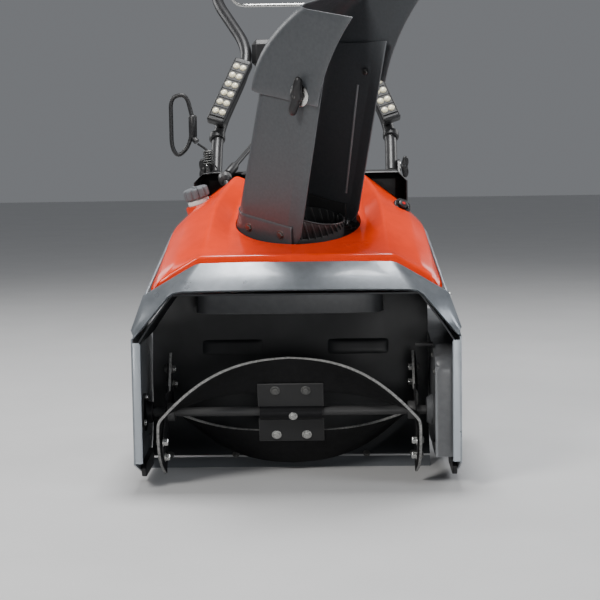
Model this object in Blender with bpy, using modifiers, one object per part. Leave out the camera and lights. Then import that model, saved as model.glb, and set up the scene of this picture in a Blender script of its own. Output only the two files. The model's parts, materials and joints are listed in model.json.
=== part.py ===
"""Single-stage snow blower, modelled as an assembly of separate pieces.

Metres, +Z up. The machine faces -Y and stands on Z = 0. Pieces are laid out with Y = 0 at the
front edge of the auger housing, and the root empty then centres the machine on the origin.
"""
import math

import bmesh
import bpy
from mathutils import Matrix, Vector

# ---------------------------------------------------------------- overall sizes
WIDTH = 0.560
LENGTH = 1.180
HEIGHT = 1.020
GAP = 0.0003            # between pieces that touch
RUNNING_GAP = 0.0015    # between pieces that move past each other

# ---------------------------------------------------------------- auger housing
PLATE = 0.003
SHELL_WALL = 0.003
SIDE_DEPTH = 0.330
SIDE_BEND_Z = 0.262
SIDE_TOP_Z = 0.427
SIDE_LEAN = 0.315       # how far the upper side leans in, per metre of height
FLANGE = 0.011
SIDE_X = WIDTH / 2 - PLATE / 2
LIP_Z = 0.345
LIP_HALF = 0.214
TRIM_TOP_Z = 0.386
TRIM_TOP_HALF = 0.168

# ---------------------------------------------------------------- rotor
ROTOR_R = 0.1145
ROTOR_LIFT = 0.002
ROTOR_Y = 0.118
ROTOR_X = -0.014
ROTOR_Z = ROTOR_R + ROTOR_LIFT
ROTOR_HALF = 0.2245
SHAFT_R = 0.008
PADDLE_T = 0.005
PADDLE_INNER = 0.040
PADDLE_TOP = math.radians(67)
PADDLE_END = math.radians(-60)
PADDLE_FLAT = 0.061
PADDLE_CROWN = math.radians(64)
PADDLE_BEND_R = 0.064
END_BOLT_R = 0.092
BOLT_R = 0.0035

# ---------------------------------------------------------------- throat between the chamber and the chute
THROAT_X = (-0.186, 0.152)
THROAT_Y = (0.166, 0.262)
THROAT_LOW = 0.284
THROAT_WALL = 0.0025
THROAT_STEPS = 40

# ---------------------------------------------------------------- belt drive
BELT_X = 0.2575
BELT_W = 0.009
BELT_T = 0.006
COVER_X0 = 0.2365
COVER_X1 = 0.2765 - GAP
COVER_WALL = 0.0025
ROTOR_PULLEY_R = 0.057
CRANK_PULLEY_R = 0.019
CRANK_Y = 0.400
CRANK_Z = 0.228
IDLER_R = 0.013
IDLER_OFF = 0.0050
ARM_PIVOT = (0.366, 0.160)
ENGINE_X = 0.055

# ---------------------------------------------------------------- chute
RING_Y = 0.230
RING_Z = 0.442
RING_TILT = math.radians(18)
CHUTE_TURN = math.radians(-39.6)
HOOD_HOLE_R = 0.114
COLLAR_R = 0.0832
COLLAR_WALL = 0.0025
GUARD_FROM = math.radians(-80)
GUARD_TO = math.radians(62)
GUARD_HIGH = 0.060
GUARD_LOW = 0.006
GUARD_STEPS = 12
CHUTE_HALF = 0.0875
CHUTE_T = 0.0025
CHUTE_TOP = 0.345
CHUTE_TOP_BACK = 0.320
THROAT_R = 0.078
RING_TEETH = 40
RING_PITCH_R = 0.100
RING_H = -0.022
TOOTH_H = 0.006
WORM_R = 0.011
WORM_WIRE = 0.004
WORM_TURN = math.radians(10)
JOINT_DISTANCE = 0.215
ROD_R = 0.0050
ROD_TOP = Vector((-0.014, 0.690, 0.690))
DEFLECTOR_H = 0.268
DEFLECTOR_TOP = 0.430
KNOB_X = 0.092
KNOB_H = 0.282

# ---------------------------------------------------------------- wheels and handle
WHEEL_R = 0.100
WHEEL_W = 0.045
WHEEL_Y = 0.540
WHEEL_X = 0.2300
TUBE_R = 0.0125
PIVOT_Y = 0.635
PIVOT_Z = 0.535
HANDLE_X = 0.183
DASH_HALF = 0.128
BRACKET_T = 0.004
GRIP_Z = HEIGHT - TUBE_R
GRIP_Y = LENGTH - TUBE_R
BAIL_Y = 1.045
BAIL_Z = 0.950
BAIL_R = 0.004
BAIL_SWING = 30
LOWER_TOP = Vector((HANDLE_X, PIVOT_Y - 0.030, PIVOT_Z - 0.035))

# ---------------------------------------------------------------- fuel cap, starter, controls
CAP_AT = Vector((-0.186, 0.318, 0.470))
CAP_UP = Vector((-0.30, -0.10, 1.0)).normalized()
ROPE_OUT = Vector((-0.140, CRANK_Y + 0.050, CRANK_Z + 0.080))
ROPE_GUIDE = Vector((-0.196, 0.612, 0.560))
ROPE_TURN = Vector((-0.178, 0.560, 0.470))
ROPE_WAY = Vector((-0.15, 0.40, 0.80)).normalized()
GRIP_AT = Vector((-0.222, 0.640, 0.592))
BUTTON_AT = Vector((0.190, 0.268, 0.469))
BUTTON_OUT = Vector((0.35, -0.65, 0.67)).normalized()
KEY_X = -0.060
CHOKE_X = 0.010
PRIMER_X = 0.080
CONTROL_Z = 0.455
REAR_FACE = 0.520

ORANGE = ("orange_gloss", (0.90, 0.13, 0.01), 0.25, 0.0)
GREY = ("light_grey_paint", (0.25, 0.27, 0.29), 0.45, 0.3)
CHUTE_GREY = ("chute_grey_paint", (0.16, 0.165, 0.17), 0.5, 0.2)
DARK = ("dark_paint", (0.03, 0.03, 0.032), 0.5, 0.2)
BLACK = ("black_plastic", (0.015, 0.015, 0.015), 0.5, 0.0)
TUBE_BLACK = ("black_tube", (0.02, 0.02, 0.02), 0.45, 0.2)
RUBBER = ("black_rubber", (0.02, 0.02, 0.02), 0.8, 0.0)
TYRE = ("tyre_rubber", (0.02, 0.02, 0.02), 0.85, 0.0)
STEEL = ("bright_steel", (0.6, 0.6, 0.6), 0.3, 1.0)
CAST = ("cast_aluminium", (0.45, 0.45, 0.45), 0.5, 1.0)
CAP_GREY = ("cap_grey", (0.12, 0.13, 0.14), 0.5, 0.0)
WHITE = ("white_plastic", (0.75, 0.75, 0.72), 0.4, 0.0)
RED = ("red_plastic", (0.6, 0.02, 0.02), 0.4, 0.0)

for old in list(bpy.data.objects):
    bpy.data.objects.remove(old, do_unlink=True)

PARTS = bpy.data.collections.new("snow_blower")
CUTTERS = bpy.data.collections.new("cutters")
bpy.context.scene.collection.children.link(PARTS)
bpy.context.scene.collection.children.link(CUTTERS)


# ================================================================ helpers
def material(finish):
    name, colour, roughness, metallic = finish
    found = bpy.data.materials.get(name)
    if found:
        return found
    made = bpy.data.materials.new(name)
    made.use_nodes = True
    shader = made.node_tree.nodes["Principled BSDF"]
    shader.inputs["Base Color"].default_value = (*colour, 1)
    shader.inputs["Roughness"].default_value = roughness
    shader.inputs["Metallic"].default_value = metallic
    return made


def empty(name, location, parent=None, rotation=None):
    made = bpy.data.objects.new(name, None)
    PARTS.objects.link(made)
    made.parent = parent
    matrix = rotation.to_4x4() if rotation else Matrix.Identity(4)
    made.matrix_basis = Matrix.Translation(location) @ matrix
    return made


ROOT = empty("snow_blower_root", (0, -LENGTH / 2, 0))


def world_in_root(thing):
    """The matrix of an empty or piece in the machine's own frame."""
    matrix = Matrix.Identity(4)
    while thing is not None and thing != ROOT:
        matrix = thing.matrix_parent_inverse @ thing.matrix_basis @ matrix if thing.parent else matrix
        thing = thing.parent
    return matrix


def add(name, mesh, finish, parent=None, local=False, matrix=None):
    """Link a mesh as a piece. Unless local, its coordinates are the machine's, whatever its parent."""
    made = bpy.data.objects.new(name, mesh)
    PARTS.objects.link(made)
    mesh.materials.append(material(finish))
    parent = parent or ROOT
    made.parent = parent
    if not local and parent != ROOT:
        made.matrix_parent_inverse = world_in_root(parent).inverted()
    if matrix is not None:
        made.matrix_basis = matrix
    return made


def mesh_from(bm, name, smooth=None):
    bmesh.ops.recalc_face_normals(bm, faces=bm.faces)
    mesh = bpy.data.meshes.new(name)
    bm.to_mesh(mesh)
    bm.free()
    if smooth:
        mesh.shade_smooth()
        mesh.set_sharp_from_angle(angle=math.radians(smooth))
    return mesh


def bevel(piece, width, segments=1):
    made = piece.modifiers.new("edges", "BEVEL")
    made.width = width
    made.segments = segments
    made.limit_method = "ANGLE"
    made.angle_limit = math.radians(40)
    return piece


def box(name, low, high, finish, edge=0.0, **where):
    low, high = Vector(low), Vector(high)
    bm = bmesh.new()
    bmesh.ops.create_cube(bm, size=1)
    bmesh.ops.scale(bm, vec=high - low, verts=bm.verts)
    piece = add(name, mesh_from(bm, name), finish, matrix=Matrix.Translation((low + high) / 2), **where)
    if edge:
        bevel(piece, edge)
    return piece


def along(start, end):
    """Placement of a shape made along +Z so that it runs from start towards end."""
    start, end = Vector(start), Vector(end)
    turn = (end - start).normalized().to_track_quat("Z", "Y").to_matrix().to_4x4()
    return Matrix.Translation(start) @ turn


def rod(name, start, end, radius, finish, radius2=None, segments=16, **where):
    length = (Vector(end) - Vector(start)).length
    bm = bmesh.new()
    bmesh.ops.create_cone(bm, cap_ends=True, segments=segments, radius1=radius,
                          radius2=radius if radius2 is None else radius2, depth=length)
    bmesh.ops.translate(bm, vec=(0, 0, length / 2), verts=bm.verts)
    return add(name, mesh_from(bm, name, 40), finish, matrix=along(start, end), **where)


def turned(name, profile, start, end, finish, segments=24, **where):
    """A closed profile of (radius, distance) pairs turned about the line from start towards end."""
    bm = bmesh.new()
    verts = [bm.verts.new((r, 0, h)) for r, h in profile]
    for a, b in zip(verts, verts[1:] + verts[:1]):
        if not (a.co.x < 1e-9 and b.co.x < 1e-9):
            bm.edges.new((a, b))
    mesh = bpy.data.meshes.new(name)
    bm.to_mesh(mesh)
    bm.free()
    piece = add(name, mesh, finish, matrix=along(start, end), **where)
    screw = piece.modifiers.new("turn", "SCREW")
    screw.steps = segments
    screw.render_steps = segments
    screw.use_merge_vertices = True
    screw.merge_threshold = 0.00005
    screw.use_normal_calculate = True
    return solid(piece)


def solid(piece):
    """Replace a piece's mesh by its evaluated one, welded and with faces turned out."""
    bpy.context.view_layer.update()
    graph = bpy.context.evaluated_depsgraph_get()
    mesh = bpy.data.meshes.new_from_object(piece.evaluated_get(graph))
    bm = bmesh.new()
    bm.from_mesh(mesh)
    bmesh.ops.remove_doubles(bm, verts=bm.verts, dist=0.00002)
    bmesh.ops.recalc_face_normals(bm, faces=bm.faces)
    bm.to_mesh(mesh)
    bm.free()
    mesh.shade_smooth()
    mesh.set_sharp_from_angle(angle=math.radians(40))
    if piece.type == "MESH":
        piece.modifiers.clear()
        piece.data = mesh
        return piece
    made = bpy.data.objects.new(piece.name, mesh)
    PARTS.objects.link(made)
    made.parent = piece.parent
    made.matrix_parent_inverse = piece.matrix_parent_inverse.copy()
    made.matrix_basis = piece.matrix_basis.copy()
    name = piece.name
    bpy.data.objects.remove(piece, do_unlink=True)
    made.name = name
    return made


def add_curve(name, curve, finish, parent=None, local=False, matrix=None):
    made = add(name, curve, finish, parent, local, matrix)
    return solid(made)


def smooth_path(points, samples):
    """Points read from a smooth curve (Catmull-Rom) through the given ones."""
    points = [Vector(p) for p in points]
    ends = [2 * points[0] - points[1]] + points + [2 * points[-1] - points[-2]]
    path = []
    for a, b, c, d in zip(ends, ends[1:], ends[2:], ends[3:]):
        for k in range(samples):
            t = k / samples
            path.append(0.5 * ((2 * b) + (c - a) * t + (2 * a - 5 * b + 4 * c - d) * t * t
                               + (3 * b - a - 3 * c + d) * t ** 3))
    return path + [points[-1]]


def rounded_path(points, radius, steps=5):
    """The corners of a path of straight runs, each turned into an arc-like bend."""
    points = [Vector(p) for p in points]
    path = [points[0]]
    for before, corner, after in zip(points, points[1:], points[2:]):
        back = (before - corner).normalized() * min(radius, (before - corner).length / 2.2)
        on = (after - corner).normalized() * min(radius, (after - corner).length / 2.2)
        for k in range(steps + 1):
            t = k / steps
            path.append(corner + back * (1 - t) ** 2 + on * t ** 2)
    return path + [points[-1]]


def tube(name, path, radius, finish, sides=2, closed=False, **where):
    """A round bar along a list of points."""
    curve = bpy.data.curves.new(name, "CURVE")
    curve.dimensions = "3D"
    curve.bevel_depth = radius
    curve.bevel_resolution = sides
    curve.use_fill_caps = not closed
    line = curve.splines.new("POLY")
    line.points.add(len(path) - 1)
    for point, place in zip(line.points, path):
        point.co = (*place, 1)
    line.use_cyclic_u = closed
    return add_curve(name, curve, finish, **where)


def flat(name, outlines, thickness, finish, axis, at, **where):
    """Closed outlines (the first the border, the others holes), extruded about the plane axis = at.

    The outline's pairs are (y, z) on axis X, (x, z) on axis Y and (x, y) on axis Z.
    """
    turn = {"X": Matrix(((0, 0, 1), (1, 0, 0), (0, 1, 0))), "Y": Matrix(((1, 0, 0), (0, 0, -1), (0, 1, 0))),
            "Z": Matrix.Identity(3)}[axis]
    curve = bpy.data.curves.new(name, "CURVE")
    curve.dimensions = "2D"
    curve.fill_mode = "BOTH"
    curve.extrude = thickness / 2
    for outline in outlines:
        line = curve.splines.new("POLY")
        line.points.add(len(outline) - 1)
        for point, (u, v) in zip(line.points, outline):
            point.co = (u, v, 0, 1)
        line.use_cyclic_u = True
    place = Matrix.Translation({"X": (at, 0, 0), "Y": (0, at, 0), "Z": (0, 0, at)}[axis]) @ turn.to_4x4()
    return add_curve(name, curve, finish, matrix=place, **where)


def sheet(name, rows, thickness, finish, side=0.0, **where):
    """A plate lofted through rows of points, the same number in each."""
    bm = bmesh.new()
    grid = [[bm.verts.new(p) for p in row] for row in rows]
    for low, high in zip(grid, grid[1:]):
        for a, b, c, d in zip(low, low[1:], high[1:], high):
            bm.faces.new((a, b, c, d))
    piece = add(name, mesh_from(bm, name), finish, **where)
    wall = piece.modifiers.new("wall", "SOLIDIFY")
    wall.thickness = thickness
    wall.offset = side
    wall.use_even_offset = True
    return solid(piece)


def hide(tool):
    tool.hide_render = True
    tool.display_type = "WIRE"
    PARTS.objects.unlink(tool)
    CUTTERS.objects.link(tool)


def combine(piece, tools, how):
    for tool in tools:
        made = piece.modifiers.new(how.lower(), "BOOLEAN")
        made.operation = how
        made.solver = "EXACT"
        made.object = tool
        bpy.context.view_layer.update()
        solid(piece)
        hide(tool)
    return piece


def join(piece, *tools):
    return combine(piece, tools, "UNION")


def cut(piece, *tools):
    return combine(piece, tools, "DIFFERENCE")


def arc(centre, radius, start, end, steps):
    """Points along an arc, angles in radians from the first axis of the plane."""
    return [(centre[0] + radius * math.cos(start + (end - start) * k / steps),
             centre[1] + radius * math.sin(start + (end - start) * k / steps)) for k in range(steps + 1)]


def circle(centre, radius, steps=32):
    return arc(centre, radius, 0, 2 * math.pi * (1 - 1 / steps), steps - 1)


def inset(border, distance):
    """An outline moved inwards everywhere by the same distance."""
    points = [Vector(p) for p in border]
    area = sum(a.x * b.y - b.x * a.y for a, b in zip(points, points[1:] + points[:1]))
    side = 1 if area > 0 else -1
    moved = []
    for before, corner, after in zip(points[-1:] + points[:-1], points, points[1:] + points[:1]):
        first, second = (corner - before).normalized(), (after - corner).normalized()
        left, right = Vector((-first.y, first.x)), Vector((-second.y, second.x))
        middle = (left + right).normalized()
        moved.append(tuple(corner + middle * (side * distance / middle.dot(left))))
    return moved


def bolt(name, start, end, head, nut, **where):
    """A hex bolt whose head sits below start and whose nut sits past end."""
    start, end = Vector(start), Vector(end)
    way = (end - start).normalized()
    shank = rod(name, start - way * head * 0.9, end + way * nut, BOLT_R, STEEL, segments=8, **where)
    parts = [rod(name + "_head", start - way * head, start, 0.0068, STEEL, segments=6, **where)]
    if nut:
        parts.append(rod(name + "_nut", end, end + way * nut, 0.0068, STEEL, segments=6, **where))
    return join(shank, *parts)


# ================================================================ auger housing
def side_outline(sign):
    """Side plate border in (y, z). The right one also covers the belt, back to the crankshaft."""
    front = [(0, 0.045), (0, SIDE_BEND_Z), (0.0080, SIDE_BEND_Z + 0.001), (0.0365, 0.335),
             (0.25, SIDE_TOP_Z),
             (SIDE_DEPTH, SIDE_TOP_Z)]
    if sign < 0:
        return front + [(SIDE_DEPTH, 0.060), (0.300, 0.018), (0.080, 0.018)]
    back = CRANK_Y + CRANK_PULLEY_R + 0.026
    return front + [(SIDE_DEPTH, CRANK_Z + 0.075), (back, CRANK_Z + 0.060), (back, CRANK_Z - 0.036),
                    (SIDE_DEPTH, 0.110), (0.290, 0.018), (0.080, 0.018)]


def side_plate(name, sign):
    top_x = SIDE_X - (SIDE_TOP_Z - SIDE_BEND_Z) * SIDE_LEAN
    profile = [(SIDE_X, 0.0), (SIDE_X, SIDE_BEND_Z), (top_x, SIDE_TOP_Z + 0.02)]
    rows = [[(sign * x, y, z) for x, z in profile] for y in (-0.01, 0.5)]
    plate = sheet(name, rows, PLATE, GREY)
    trim = flat(name + "_border", [side_outline(sign)], 0.3, GREY, "X", sign * WIDTH / 2)
    combine(plate, [trim], "INTERSECT")
    inner = SIDE_X - PLATE / 2 - FLANGE
    edges = sorted((sign * inner, sign * (SIDE_X + PLATE / 4)))
    low, high = (edges[0], GAP, 0.0475), (edges[1], PLATE + GAP, SIDE_BEND_Z - 0.006)
    return join(plate, box(name + "_flange", low, high, GREY))


def back_wall_line():
    """Back wall and scoop in (y, z): an arc round the rotor, then a straight run up to the roof."""
    scoop = arc((ROTOR_Y, ROTOR_Z), ROTOR_R + 0.0215, math.radians(-46), math.radians(14), 8)
    return scoop + [(0.279, LIP_Z - 0.009)]


def housing_shell():
    left = -SIDE_X + PLATE / 2 + GAP
    right = COVER_X0 - GAP
    wall = sheet("housing_shell", [[(x, y, z) for y, z in back_wall_line()] for x in (left, right)],
                 SHELL_WALL, DARK, side=0)
    roof_z = LIP_Z - 0.0095
    end = SIDE_X - PLATE / 2 - GAP - SHELL_WALL / 2
    half = [(0, roof_z), (LIP_HALF - 0.004, roof_z), (0.2480, 0.2850), (end, 0.2440)]
    arch = [(-x, z) for x, z in reversed(half[1:])] + half
    roof = sheet("housing_roof", [[(x, y, z) for x, z in arch] for y in (0.009, 0.282)], SHELL_WALL, DARK)
    prism = flat("housing_limit", [arch + [(end + 0.001, -0.02), (-end - 0.001, -0.02)]], 0.8, DARK, "Y",
                 0.3)
    combine(wall, [prism], "INTERSECT")
    join(wall, roof)
    return cut(wall, throat_block("throat_hole", LIP_Z - 0.03, LIP_Z + 0.02, THROAT_WALL / 2 + 3 * GAP))


def throat_row(z, grow=0.0):
    """Stadium-like ring of points: the throat's mouth, open to the auger chamber."""
    mid_x, mid_y = sum(THROAT_X) / 2, sum(THROAT_Y) / 2
    half_y = (THROAT_Y[1] - THROAT_Y[0]) / 2 + grow
    half_x = (THROAT_X[1] - THROAT_X[0]) / 2 + grow
    row = []
    for k in range(THROAT_STEPS):
        a = 2 * math.pi * k / THROAT_STEPS
        straight = (half_x - half_y) * max(-1, min(1, math.cos(a) * 1.6))
        row.append((mid_x + straight + half_y * math.cos(a), mid_y + half_y * math.sin(a), z))
    return row


def throat_block(name, low, high, grow):
    outline = [(x, y) for x, y, z in throat_row(0, grow)]
    return flat(name, [outline], high - low, DARK, "Z", (low + high) / 2)


def ring_frame():
    return Matrix.Translation((0, RING_Y, RING_Z)) @ Matrix.Rotation(RING_TILT, 4, "X")


def discharge_throat():
    """Funnel from the chamber's wide mouth up to the round seat under the chute."""
    seat = []
    for h in (-0.075, -0.034):
        ring = [Vector((THROAT_R * math.cos(2 * math.pi * k / THROAT_STEPS),
                        THROAT_R * math.sin(2 * math.pi * k / THROAT_STEPS), h)) for k in range(THROAT_STEPS)]
        seat.append([tuple(ring_frame() @ p) for p in ring])
    rows = [throat_row(THROAT_LOW), throat_row(LIP_Z + 0.004)] + seat
    rows = [row + row[:1] for row in rows]
    return sheet("discharge_throat", rows, THROAT_WALL, DARK, side=0)


def front_trim():
    """Visor band round the top of the intake: a sloped band that tapers to a point at each corner."""
    corner = WIDTH / 2 - 0.0005
    lip = [(0, 0.0035, LIP_Z), (LIP_HALF, 0.0035, LIP_Z - 0.004), (0.2505, 0.0035, 0.2945),
           (corner - 0.004, 0.0035, SIDE_BEND_Z + 0.004)]
    crest = [(0, 0.050, TRIM_TOP_Z), (TRIM_TOP_HALF, 0.050, TRIM_TOP_Z), (0.2605, 0.027, 0.3330),
             (corner, 0.0050, SIDE_BEND_Z + 0.014)]

    def whole(half):
        return [(-x, y, z) for x, y, z in reversed(half[1:])] + half

    return sheet("front_trim", [whole(lip), whole(crest)], PLATE, GREY, side=0)


def scraper_bar():
    profile = [(0.190, 0.0), (0.196, 0.0), (0.2135, 0.0125), (0.2120, 0.0155)]
    left = -SIDE_X + PLATE / 2 + GAP
    right = COVER_X0 - GAP
    return flat("scraper_bar", [profile], right - left, GREY, "X", (left + right) / 2)


def skid_shoe(name, sign):
    """Black shoe bolted inside the lower edge of a side plate."""
    profile = [(0.070, 0.034), (0.062, 0.026), (0.074, 0.010), (0.172, 0.010), (0.180, 0.020),
               (0.180, 0.040)]
    face = sign * (SIDE_X - PLATE / 2 - GAP - 0.0045)
    return bevel(flat(name, [profile], 0.009, BLACK, "X", face), 0.001)


def belt_cover():
    """Open-backed cover that closes the auger chamber on the belt side."""
    back = CRANK_Y + CRANK_PULLEY_R + 0.025
    border = [(0.028, 0.050), (0.028, 0.206), (0.040, 0.222), (0.120, 0.232)]
    border += [(0.285, 0.2405), (0.330, 0.2490), (back, SIDE_BEND_Z - 0.0015), (back, CRANK_Z - 0.032)]
    border += [(0.290, 0.100), (0.236, 0.050)]
    span = COVER_X1 - COVER_X0
    cover = flat("belt_cover", [border], span, GREY, "X", (COVER_X0 + COVER_X1) / 2)
    inner = inset(border, COVER_WALL)
    hollow = flat("belt_room", [inner], span, DARK, "X", (COVER_X0 + COVER_X1) / 2 + COVER_WALL)
    stud = rod("arm_stud", (COVER_X0 + 0.001, *ARM_PIVOT), (BELT_X - 0.008, *ARM_PIVOT), 0.0034, STEEL,
               segments=12)
    bore = rod("cover_bore", (0.2, ROTOR_Y, ROTOR_Z), (0.25, ROTOR_Y, ROTOR_Z), SHAFT_R + 0.002, DARK)
    shaft = rod("crank_bore", (0.2, CRANK_Y, CRANK_Z), (0.25, CRANK_Y, CRANK_Z), 0.013, DARK)
    cut(cover, hollow, bore, shaft)
    boss_end = COVER_X0 + COVER_WALL - GAP
    boss = turned("cover_bearing",
                  [(SHAFT_R + GAP * 2, 0.0), (0.027, 0.0), (0.027, -0.006), (0.022, -0.013),
                                    (SHAFT_R + GAP * 2, -0.013)],
                  (boss_end, ROTOR_Y, ROTOR_Z), (boss_end + 1, ROTOR_Y, ROTOR_Z), BLACK)
    return join(cover, boss, stud)


def rotor_bearing_left():
    """Flanged bearing on the inside of the left plate, with its mounting bolts' heads."""
    face = -SIDE_X + PLATE / 2 + GAP
    profile = [(SHAFT_R + GAP * 2, 0.0), (0.034, 0.0), (0.034, 0.004), (0.020, 0.007), (0.018, 0.018),
               (SHAFT_R + GAP * 2, 0.018)]
    bearing = turned("rotor_bearing_left", profile[::-1], (face, ROTOR_Y, ROTOR_Z),
                     (face + 1, ROTOR_Y, ROTOR_Z), BLACK)
    for k in range(3):
        a = math.radians(90 + 120 * k)
        at = Vector((face + 0.003, ROTOR_Y + 0.027 * math.cos(a), ROTOR_Z + 0.027 * math.sin(a)))
        join(bearing, rod(f"bearing_bolt_{k}", at, at + Vector((0.005, 0, 0)), 0.005, STEEL, segments=6))


# ================================================================ rotor
def paddle_angle(x):
    """Sweep of the paddle's root round the shaft: flat in the middle, falling away to nothing at its ends."""
    t = max(0.0, (abs(x) - PADDLE_FLAT) / (ROTOR_HALF - PADDLE_FLAT))
    return PADDLE_TOP * max(0.0, 1 - t ** 1.5) ** 0.9


def paddle_edge_angle(x):
    """Sweep of the paddle's outer edge, one smooth arch from end to end."""
    return PADDLE_CROWN * (1 - (x / ROTOR_HALF) ** 2)


def paddle_rows():
    side = [0.0, PADDLE_FLAT / 2]
    side += [PADDLE_FLAT + (ROTOR_HALF - PADDLE_FLAT) * math.sin(math.pi / 2 * k / 7) for k in range(8)]
    tail = [(ROTOR_HALF, PADDLE_END * k / 3) for k in range(1, 4)]
    rows = []
    for radius, sweep in ((ROTOR_R - 0.0003, paddle_edge_angle), (PADDLE_BEND_R, paddle_angle), (PADDLE_INNER, paddle_angle)):
        half = [(x, sweep(x)) for x in side] + tail
        stations = [(-x, a) for x, a in reversed(half[1:])] + half
        rows.append([(x, -radius * math.cos(a), radius * math.sin(a)) for x, a in stations])
    return rows


def hub_normal():
    return Vector((0, -math.sin(PADDLE_TOP), -math.cos(PADDLE_TOP)))


def hub_bolts():
    """Centres of the four paddle bolts on the hub plate, in the paddle's middle plane."""
    out = Vector((0, -math.cos(PADDLE_TOP), math.sin(PADDLE_TOP)))
    return [(side * 0.027, end, out * end * 0.0465) for end in (1, -1) for side in (-1, 1)]


def end_bolts():
    return [math.radians(a) for a in (-24, -48)]


def rotor(axle):
    rod("rotor_shaft", (-SIDE_X + PLATE / 2 + 0.002 - ROTOR_X, 0, 0),
                (BELT_X + 0.012 - ROTOR_X, 0, 0), SHAFT_R, DARK, parent=axle, local=True)
    paddles = []
    for name, turn in (("rotor_paddle_a", 0), ("rotor_paddle_b", math.pi)):
        paddle = sheet(name, paddle_rows(), PADDLE_T, RUBBER, side=0, parent=axle, local=True,
                       matrix=Matrix.Rotation(turn, 4, "X"))
        paddles.append(paddle)
    hub_offset = PADDLE_T / 2 + GAP + 0.0015
    normal = hub_normal()
    hub = turned("rotor_hub",
                 [(SHAFT_R + GAP, -0.055), (0.0125, -0.055), (0.0125, 0.055),
                  (SHAFT_R + GAP, 0.055)][::-1],
                 (0, 0, 0), (1, 0, 0), DARK, parent=axle, local=True)
    frame = Matrix.Translation(normal * hub_offset) @ Matrix.Rotation(math.pi / 2 - PADDLE_TOP, 4, "X")
    plate = box("hub_plate", (-0.058, -0.0015, -0.060), (0.058, 0.0015, 0.060), DARK, parent=axle,
                local=True)
    plate.matrix_basis = frame
    bore = rod("hub_bore", (-0.2, 0, 0), (0.2, 0, 0), SHAFT_R + GAP, DARK, parent=axle, local=True)
    join(hub, plate)
    cut(hub, bore)
    for k, (x, end, place) in enumerate(hub_bolts()):
        face = place + normal * (hub_offset + 0.0010) + Vector((x, 0, 0))
        back = place - normal * (PADDLE_T / 2 + GAP) + Vector((x, 0, 0))
        hole = rod(f"hub_hole_{k}", face, back - normal * 0.02, BOLT_R + GAP, RUBBER, segments=8,
                   parent=axle, local=True)
        cut(paddles[0] if end > 0 else paddles[1], hole)
        join(hub, bolt(f"hub_bolt_{k}", face, back, 0.005, 0.004, parent=axle, local=True))
    for name, sign in (("rotor_end_plate_left", -1), ("rotor_end_plate_right", 1)):
        face = sign * (ROTOR_HALF - PADDLE_T / 2 - GAP - 0.0015)
        middle = sum(end_bolts()) / len(end_bolts())
        half_w, half_l, soft = 0.0205, 0.103, 0.016
        border = []
        for cx, cy, start in ((1, 1, 0), (-1, 1, 90), (-1, -1, 180), (1, -1, 270)):
            centre = (cx * (half_l - soft), cy * (half_w - soft))
            border += arc(centre, soft, math.radians(start), math.radians(start + 90), 4)
        turn = math.pi - middle
        border = [(u * math.cos(turn) - v * math.sin(turn),
                   u * math.sin(turn) + v * math.cos(turn)) for u, v in border]
        plate = flat(name, [border, circle((0, 0), SHAFT_R + GAP, 24)], 0.003, DARK, "X", face,
                     parent=axle, local=True)
        collar = turned(name + "_collar",
                        [(SHAFT_R + GAP, 0), (0.016, 0), (0.016, 0.014), (SHAFT_R + GAP, 0.014)][::-1],
                        (face, 0, 0), (face - sign, 0, 0), DARK, parent=axle, local=True)
        join(plate, collar)
        for k, angle in enumerate(end_bolts()):
            for p, turn in enumerate((0, math.pi)):
                a = angle + turn
                y, z = -END_BOLT_R * math.cos(a), END_BOLT_R * math.sin(a)
                inner = Vector((face - sign * 0.001, y, z))
                outer = Vector((sign * (ROTOR_HALF + PADDLE_T / 2 + GAP), y, z))
                hole = rod(f"{name}_hole_{k}_{p}", inner, outer + Vector((sign * 0.01, 0, 0)),
                           BOLT_R + GAP, RUBBER,
                           segments=8, parent=axle, local=True)
                cut(paddles[p], hole)
                join(plate, bolt(f"{name}_bolt_{k}_{p}", inner, outer, 0.0055, 0.004, parent=axle,
                                 local=True))
    groove = pulley_profile(ROTOR_PULLEY_R, SHAFT_R + GAP)
    turned("rotor_pulley", groove, (BELT_X - ROTOR_X, 0, 0), (BELT_X - ROTOR_X + 1, 0, 0), CAST,
                   parent=axle, local=True)


def pulley_profile(radius, bore):
    """Belt pulley section with a flat-floored groove, outer side first, from its far end to its near end."""
    floor = radius - BELT_T / 2 - 0.001
    groove = BELT_W / 2 + 0.0008
    half = groove + 0.0022
    rim = radius + 0.004
    return [(bore, half), (rim, half), (rim, groove + 0.0004), (floor, groove), (floor, -groove),
            (rim, -groove - 0.0004),
            (rim, -half), (bore, -half)]


def belt_loop(grow):
    """Outline in (y, z) round both pulleys at a distance from the belt's pitch line."""
    big = ROTOR_PULLEY_R + grow
    small = CRANK_PULLEY_R + grow
    dy, dz = CRANK_Y - ROTOR_Y, CRANK_Z - ROTOR_Z
    line = math.atan2(dz, dy)
    spread = math.acos((big - small) / math.hypot(dy, dz))
    loop = arc((ROTOR_Y, ROTOR_Z), big, line + spread, line + 2 * math.pi - spread, 20)
    return loop + arc((CRANK_Y, CRANK_Z), small, line - spread, line + spread, 8)


def drive_belt():
    slack = 0.0012
    outer = belt_loop(BELT_T / 2 + slack)
    inner = belt_loop(-BELT_T / 2 + slack)
    return flat("drive_belt", [outer, inner], BELT_W, RUBBER, "X", BELT_X)


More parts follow.
